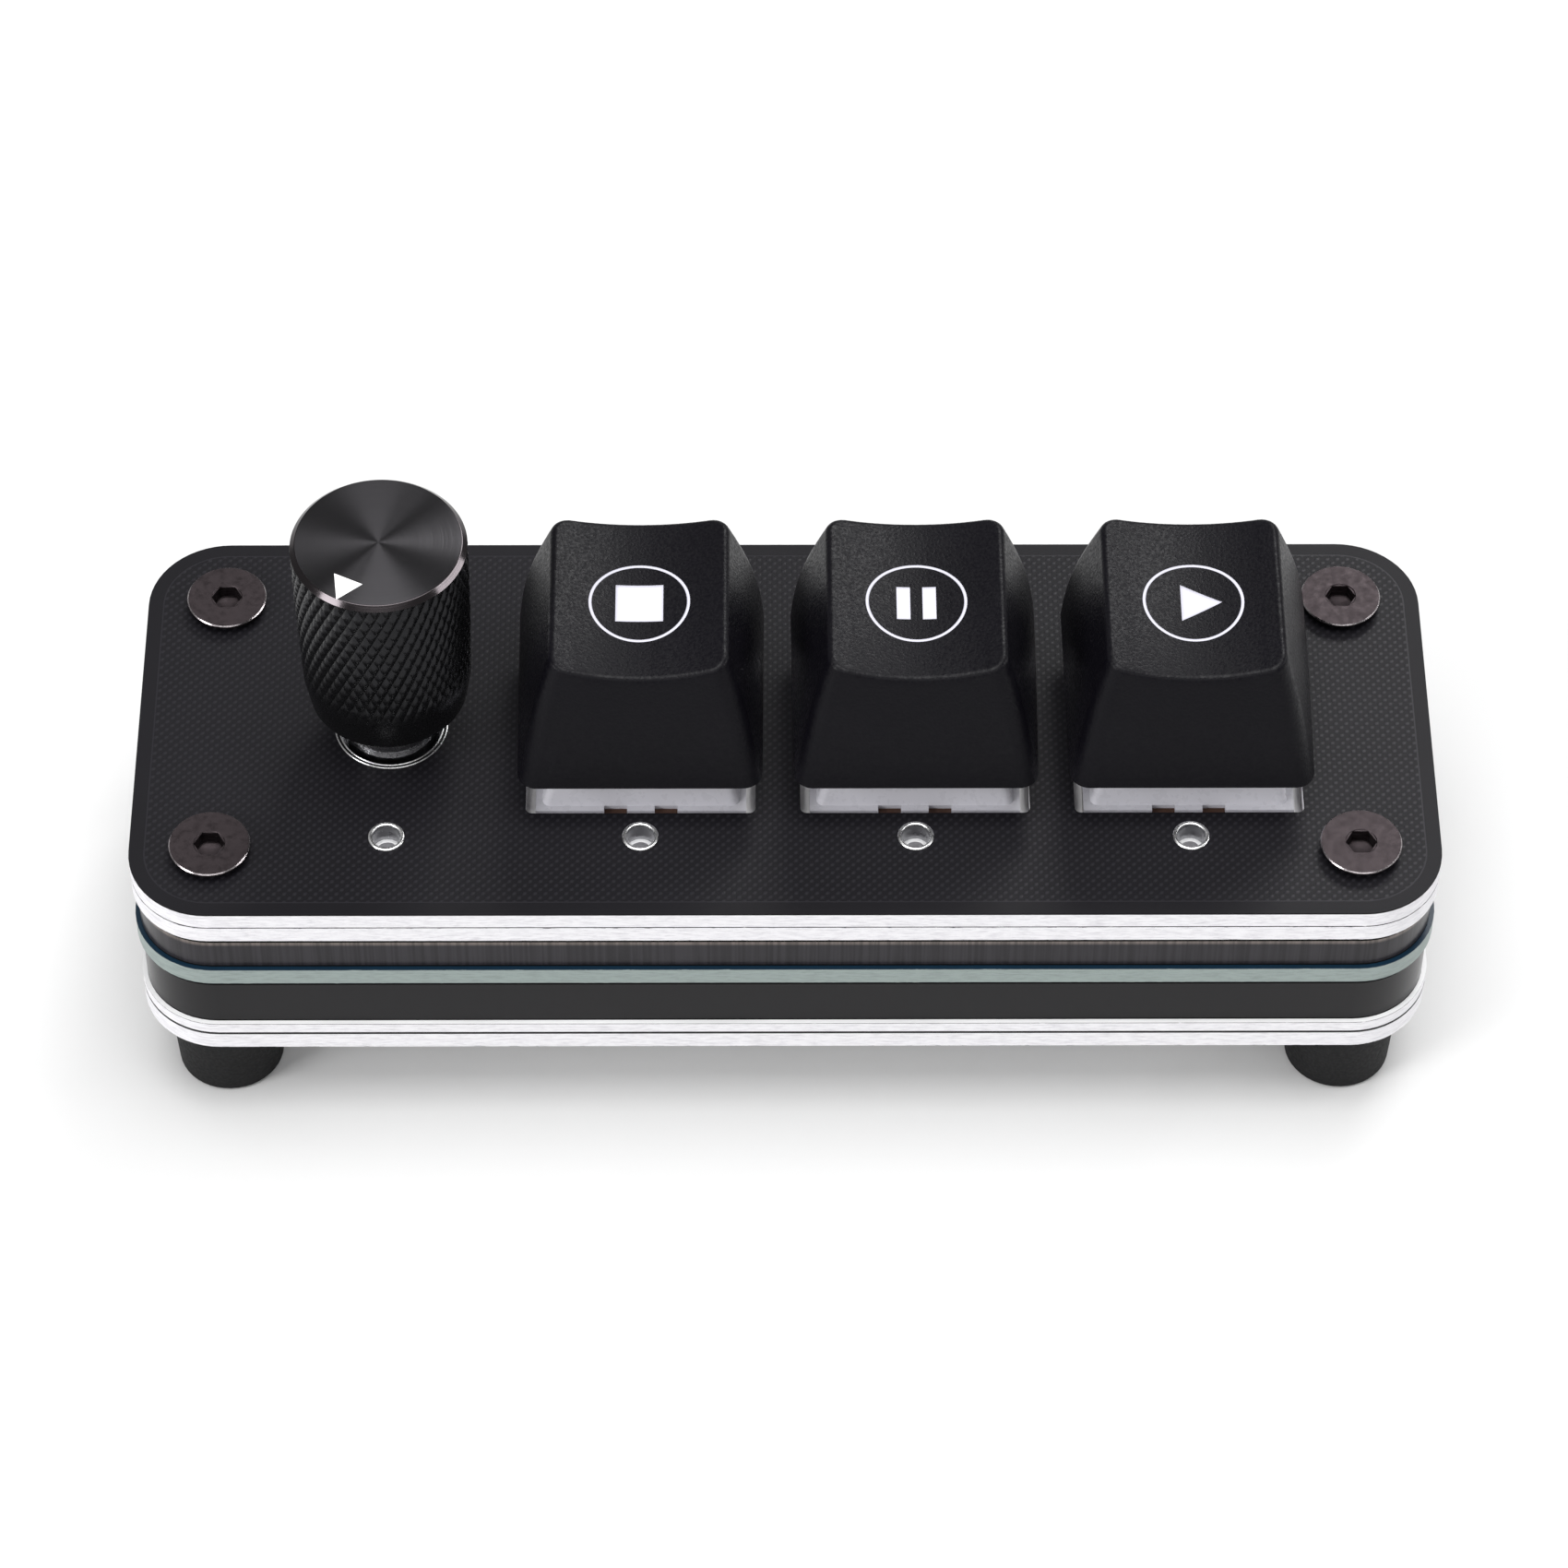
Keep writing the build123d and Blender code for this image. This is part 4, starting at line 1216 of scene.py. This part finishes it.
@dataclass
class Key:
    """One keycap with its printed symbol, over its switch."""

    symbol: Symbol
    ring_radius: float = 3.72 * MM
    ring_sides: int = 128
    line: float = 0.22 * MM
    centre_y: float = 1.0 * MM
    clear: float = 1.0 * MM
    square: float = 3.5 * MM
    bar_width: float = 1.0 * MM
    bar_height: float = 3.1 * MM
    bar_offset: float = 0.95 * MM
    play_radius: float = 2.0 * MM
    play_shift: float = 0.1 * MM
    cuts: int = 12
    play_cuts: int = 8
    ink_thickness: float = 0.05 * MM
    ink_proud: float = 0.012 * MM
    side_swell: float = 0.82 * MM
    front_swell: float = 0.15 * MM
    corner_draw: float = 0.3 * MM
    crown_rows: int = 12
    cage_rows: int = 9

    def __post_init__(self) -> None:
        """Takes the key's box, and a place above its dish for the flat symbol."""
        self.node = f"keycap_{self.symbol.value}"
        self.low, self.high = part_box(self.node)
        self.centre = Vector((middle(self.node).x, self.centre_y, self.high.z + self.clear))

    def shell(self) -> Object:
        """Takes the cap's solid and crowns its four flat sides.

        Returns:
            The cap with its sides swollen at mid-height.
        """
        piece = take_solid(self.node, f"{self.node}_shell")
        for row in range(1, self.crown_rows):
            level = self.low.z + row / self.crown_rows * (self.high.z - self.low.z)
            edit_all()
            bpy.ops.mesh.bisect(plane_co=(0.0, 0.0, level), plane_no=UP, threshold=MERGE)
        self.crown(piece)
        settle(piece)
        return piece

    def crown(self, piece: Object) -> None:
        """Swells the cap's sides and draws in its front corners.

        Args:
            piece: the cap.
        """
        deselect()
        size = self.high - self.low
        bpy.ops.object.add(type="LATTICE", location=(self.low + self.high) / 2)
        cage = bpy.context.object
        cage.scale = size
        cage.data.interpolation_type_v = cage.data.interpolation_type_w = "KEY_CATMULL_ROM"
        cage.data.points_v, cage.data.points_w = 5, self.cage_rows
        for point in cage.data.points:
            rise, depth = point.co.z + 0.5, point.co.y + 0.5
            swell = math.sin(math.pi * rise)
            # The swell is full from the middle to the back, the draw is in the front quarter
            to_back, front = min(1.0, 2 * depth), max(0.0, 1 - 4 * depth)
            wider = self.side_swell * swell * to_back - self.corner_draw * (1 - rise) * front
            point.co_deform[0] *= 1 + 2 * wider / size.x
            point.co_deform[1] *= 1 + 2 * self.front_swell * swell / size.y
        bpy.context.view_layer.update()
        apply_modifier(piece, "LATTICE", object=cage)
        bpy.data.objects.remove(cage)

    def ring(self) -> Object:
        """Flat ring that frames the symbol."""
        deselect()
        inner = self.ring_radius - self.line
        bpy.ops.mesh.primitive_circle_add(vertices=self.ring_sides, radius=inner,
                                          location=self.centre)
        edit_all()
        draw_out(0.0, self.ring_radius / inner, self.centre)
        deselect()
        return bpy.context.object

    def bar(self, width: float, height: float, shift: float) -> Object:
        """Flat filled rectangle.

        Args:
            width: its size along X.
            height: its size along Y.
            shift: its centre from the symbol's centre, along X.

        Returns:
            The finely divided rectangle.
        """
        deselect()
        centre = self.centre + Vector((shift, 0.0, 0.0))
        bpy.ops.mesh.primitive_grid_add(
            x_subdivisions=self.cuts, y_subdivisions=self.cuts, size=1.0, location=centre)
        edit_all()
        bpy.ops.transform.resize(value=(width, height, 1.0), center_override=centre)
        deselect()
        return bpy.context.object

    def triangle(self) -> Object:
        """Flat filled triangle that points along +X."""
        deselect()
        bpy.ops.mesh.primitive_circle_add(
            vertices=3, radius=self.play_radius, fill_type="NGON",
            location=self.centre + Vector((self.play_shift, 0.0, 0.0)),
            rotation=(0.0, 0.0, math.radians(-90)))
        edit_all()
        bpy.ops.mesh.subdivide(number_cuts=self.play_cuts)
        deselect()
        return bpy.context.object

    def shapes(self) -> list[Object]:
        """The flat shapes of the printed symbol."""
        ring = self.ring()
        if self.symbol is Symbol.STOP:
            return [ring, self.bar(self.square, self.square, 0.0)]
        if self.symbol is Symbol.PAUSE:
            return [ring, *(self.bar(self.bar_width, self.bar_height, side * self.bar_offset)
                            for side in (-1, 1))]
        return [ring, self.triangle()]

    def build(self, ink: Material, cap: Material) -> None:
        """Models the cap and prints the symbol on its dish.

        Args:
            ink: material of the symbol.
            cap: material of the keycap.
        """
        shell = self.shell()
        dress(shell, cap)
        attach(shell, f"key_{self.symbol.value}")
        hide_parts(self.node)
        shapes = self.shapes()
        activate(shapes[0])
        for shape in shapes:
            shape.select_set(True)
        bpy.ops.object.join()
        piece = bpy.context.object
        piece.name = piece.data.name = f"{self.node}_symbol"
        settle(piece)
        apply_modifier(piece, "SHRINKWRAP", target=shell, wrap_method="PROJECT",
                       use_project_z=True, use_negative_direction=True,
                       use_positive_direction=False, offset=self.ink_proud)
        turn_outwards()
        deselect()
        apply_modifier(piece, "SOLIDIFY", thickness=self.ink_thickness, offset=-1.0)
        dress(piece, ink)
        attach(piece, f"key_{self.symbol.value}")
        LOG.info("%s modelled with its %s symbol", self.node, self.symbol.name.lower())


@dataclass
class KeyRow:
    """The three keys and the switches under them."""

    # Dye-sublimed white: flat, faintly lavender, with the cap's grain in it
    ink: Finish = Grained("white_symbol_ink", "#c6c5d1", 0.6, relief=0.004 * MM, tone=0.02)
    # Moulded PBT: spark-eroded grain that glitters along its edges
    cap: Finish = Grained("black_moulded_pbt", "#08070c", 0.4, specular=0.14,
                          grain=0.22 * MM, relief=0.03 * MM, tone=0.1, gloss_spread=0.12)
    # Drawn music wire: bright along each turn
    wire: Finish = Grained("drawn_music_wire", "#bdbdbf", 0.22, metallic=1.0, relief=0.002 * MM)

    def build(self) -> None:
        """Builds every key and dresses the switches."""
        ink, cap, wire = self.ink.material(), self.cap.material(), self.wire.material()
        for symbol in Symbol:
            Key(symbol).build(ink, cap)
            flex(f"switch_{symbol.value}_spring", wire)
        for part, finish in {
                # Natural polycarbonate: milky, faintly lavender, glossy
                "upper_housing": Grained("milky_polycarbonate", "#cfced5", 0.3,
                                         grain=0.6 * MM, relief=0.004 * MM, tone=0.04),
                # Moulded nylon: chocolate brown with a faint gloss
                "lower_housing": Grained("brown_nylon", "#4a3022", 0.5),
                # Polyacetal: waxy pale grey
                "stem": Grained("grey_polyacetal", "#b9bcc0", 0.4, grain=0.4 * MM,
                                relief=0.004 * MM),
                # Rolled phosphor bronze leaf: smooth and copper-gold
                "contacts": Grained("rolled_phosphor_bronze", "#b98a52", 0.25,
                                    metallic=1.0, relief=0.002 * MM)}.items():
            dress_nodes(finish, *(f"switch_{number}_{part}" for number in KEYS))
        LOG.info("switches dressed")


# ---- Electronics ----

@dataclass
class Electronics:
    """The socket and the small packages on both sides of the main board."""

    def build(self) -> None:
        """Dresses the packages."""
        # Moulded epoxy: matt black with a fine grain
        dress_nodes(Grained("black_epoxy_package", "#1d1d1f", 0.6, grain=0.12 * MM),
                    "controller_chip", "voltage_regulator", "matrix_diodes")
        # Nickel-plated drawn steel: bright and smooth
        dress_nodes(Grained("drawn_nickelled_steel", "#bcbcbe", 0.25, metallic=1.0,
                            relief=0.003 * MM), "usb_shell", "clock_crystal")
        # Fired barium titanate ceramic: matt tan
        dress_nodes(Grained("tan_ceramic", "#8e7150", 0.5, grain=0.1 * MM), "chip_capacitors")
        # Clear epoxy over an unlit cup: dark and wet-looking
        dress_nodes(Grained("clear_epoxy_lens", "#1e1f1c", 0.2, grain=0.4 * MM,
                            relief=0.002 * MM), "status_lights")
        LOG.info("electronics dressed")


# ---- Floor, light and camera ----

@dataclass
class Softbox:
    """A rectangular lamp that looks at a point, turned about its beam by its slant."""

    name: str
    place: tuple[float, float, float]
    target: tuple[float, float, float]
    size: tuple[float, float]
    power: float
    slant: float = 0.0

    def build(self) -> None:
        """Adds the lamp."""
        lamp = bpy.data.lights.new(self.name, "AREA")
        lamp.shape = "RECTANGLE"
        lamp.size, lamp.size_y = self.size
        lamp.energy = self.power
        holder = bpy.data.objects.new(self.name, lamp)
        bpy.context.scene.collection.objects.link(holder)
        holder.location = self.place
        aim = Vector(self.target) - Vector(self.place)
        slant = Quaternion(UP, math.radians(self.slant))
        holder.rotation_euler = (aim.to_track_quat("-Z", "Y") @ slant).to_euler()


@dataclass
class Studio:
    """Pale floor, soft light and the camera in front of and above the keypad."""

    floor_size: float = 6.0
    floor_tone: str = "#d2d2d2"
    sky: str = "#ffffff"
    sky_strength: float = 0.3
    sensor: float = 36.0
    lens: float = 136.9
    elevation: float = 50.683
    yaw: float = -0.5478
    roll: float = 0.341
    distance: float = 0.44246
    target: tuple[float, float, float] = (-0.000088, -0.00573, 0.0243)

    def build(self) -> None:
        """Adds the floor, the lamps and the camera."""
        self.floor()
        self.light()
        self.camera()

    def floor(self) -> None:
        """Lays the floor."""
        deselect()
        bpy.ops.mesh.primitive_plane_add(size=self.floor_size, location=ORIGIN)
        plane = bpy.context.object
        plane.name = "studio_floor"
        # Uncoated paper: pale and quite matt
        dress(plane, Finish("pale_paper_sweep", self.floor_tone, 0.9, specular=0.2))

    def light(self) -> None:
        """Sets the even sky and the softboxes."""
        world = bpy.data.worlds.new("studio_sky")
        world.use_nodes = True
        feed(world.node_tree, world.node_tree.nodes["Background"],
             {"Color": linear(self.sky), "Strength": self.sky_strength})
        bpy.context.scene.world = world
        bpy.context.scene.view_settings.view_transform = "Standard"
        above = (0.0, 0.0, 0.02)
        for lamp in (
                Softbox("overhead_softbox", (0.0, -0.1, 1.1), ORIGIN, (0.8, 0.8), 12.0),
                Softbox("back_right_softbox", (0.35, 0.8, 0.8), above, (0.5, 0.3), 4.6),
                Softbox("front_left_softbox", (-0.9, -0.52, 0.62), above, (0.4, 0.4), 7.0),
                Softbox("front_fill", (0.05, -1.05, 0.72), above, (1.3, 0.3), 3.0),
                Softbox("right_strip", (0.8, 0.095, 0.4), (0.0, 0.0, 0.04), (0.72, 0.08),
                        2.2, -25.5)):
            lamp.build()

    def camera(self) -> None:
        """Places the camera by its angle, distance and roll about its target."""
        data = bpy.data.cameras.new("product_camera")
        data.sensor_width = self.sensor
        data.lens = self.lens
        data.clip_start, data.clip_end = 0.01, 20.0
        holder = bpy.data.objects.new("product_camera", data)
        bpy.context.scene.collection.objects.link(holder)
        place = Matrix.Identity(4)
        for turn, axis in ((self.yaw, "Z"), (90 - self.elevation, "X"), (self.roll, "Z")):
            place @= Matrix.Rotation(math.radians(turn), 4, axis)
        place.translation = Vector(self.target) + place.col[2].xyz * self.distance
        holder.matrix_world = place
        bpy.context.scene.camera = holder
        LOG.info("camera at %s", tuple(round(value, 4) for value in place.translation))


def main() -> None:
    """Builds every part of the scene in order."""
    logging.basicConfig(level=logging.INFO, format="%(name)s: %(message)s")
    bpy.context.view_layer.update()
    for part in (Studio, Sandwich, CaseFasteners, Knob, KeyRow, Electronics):
        part().build()


if __name__ == "__main__":
    main()
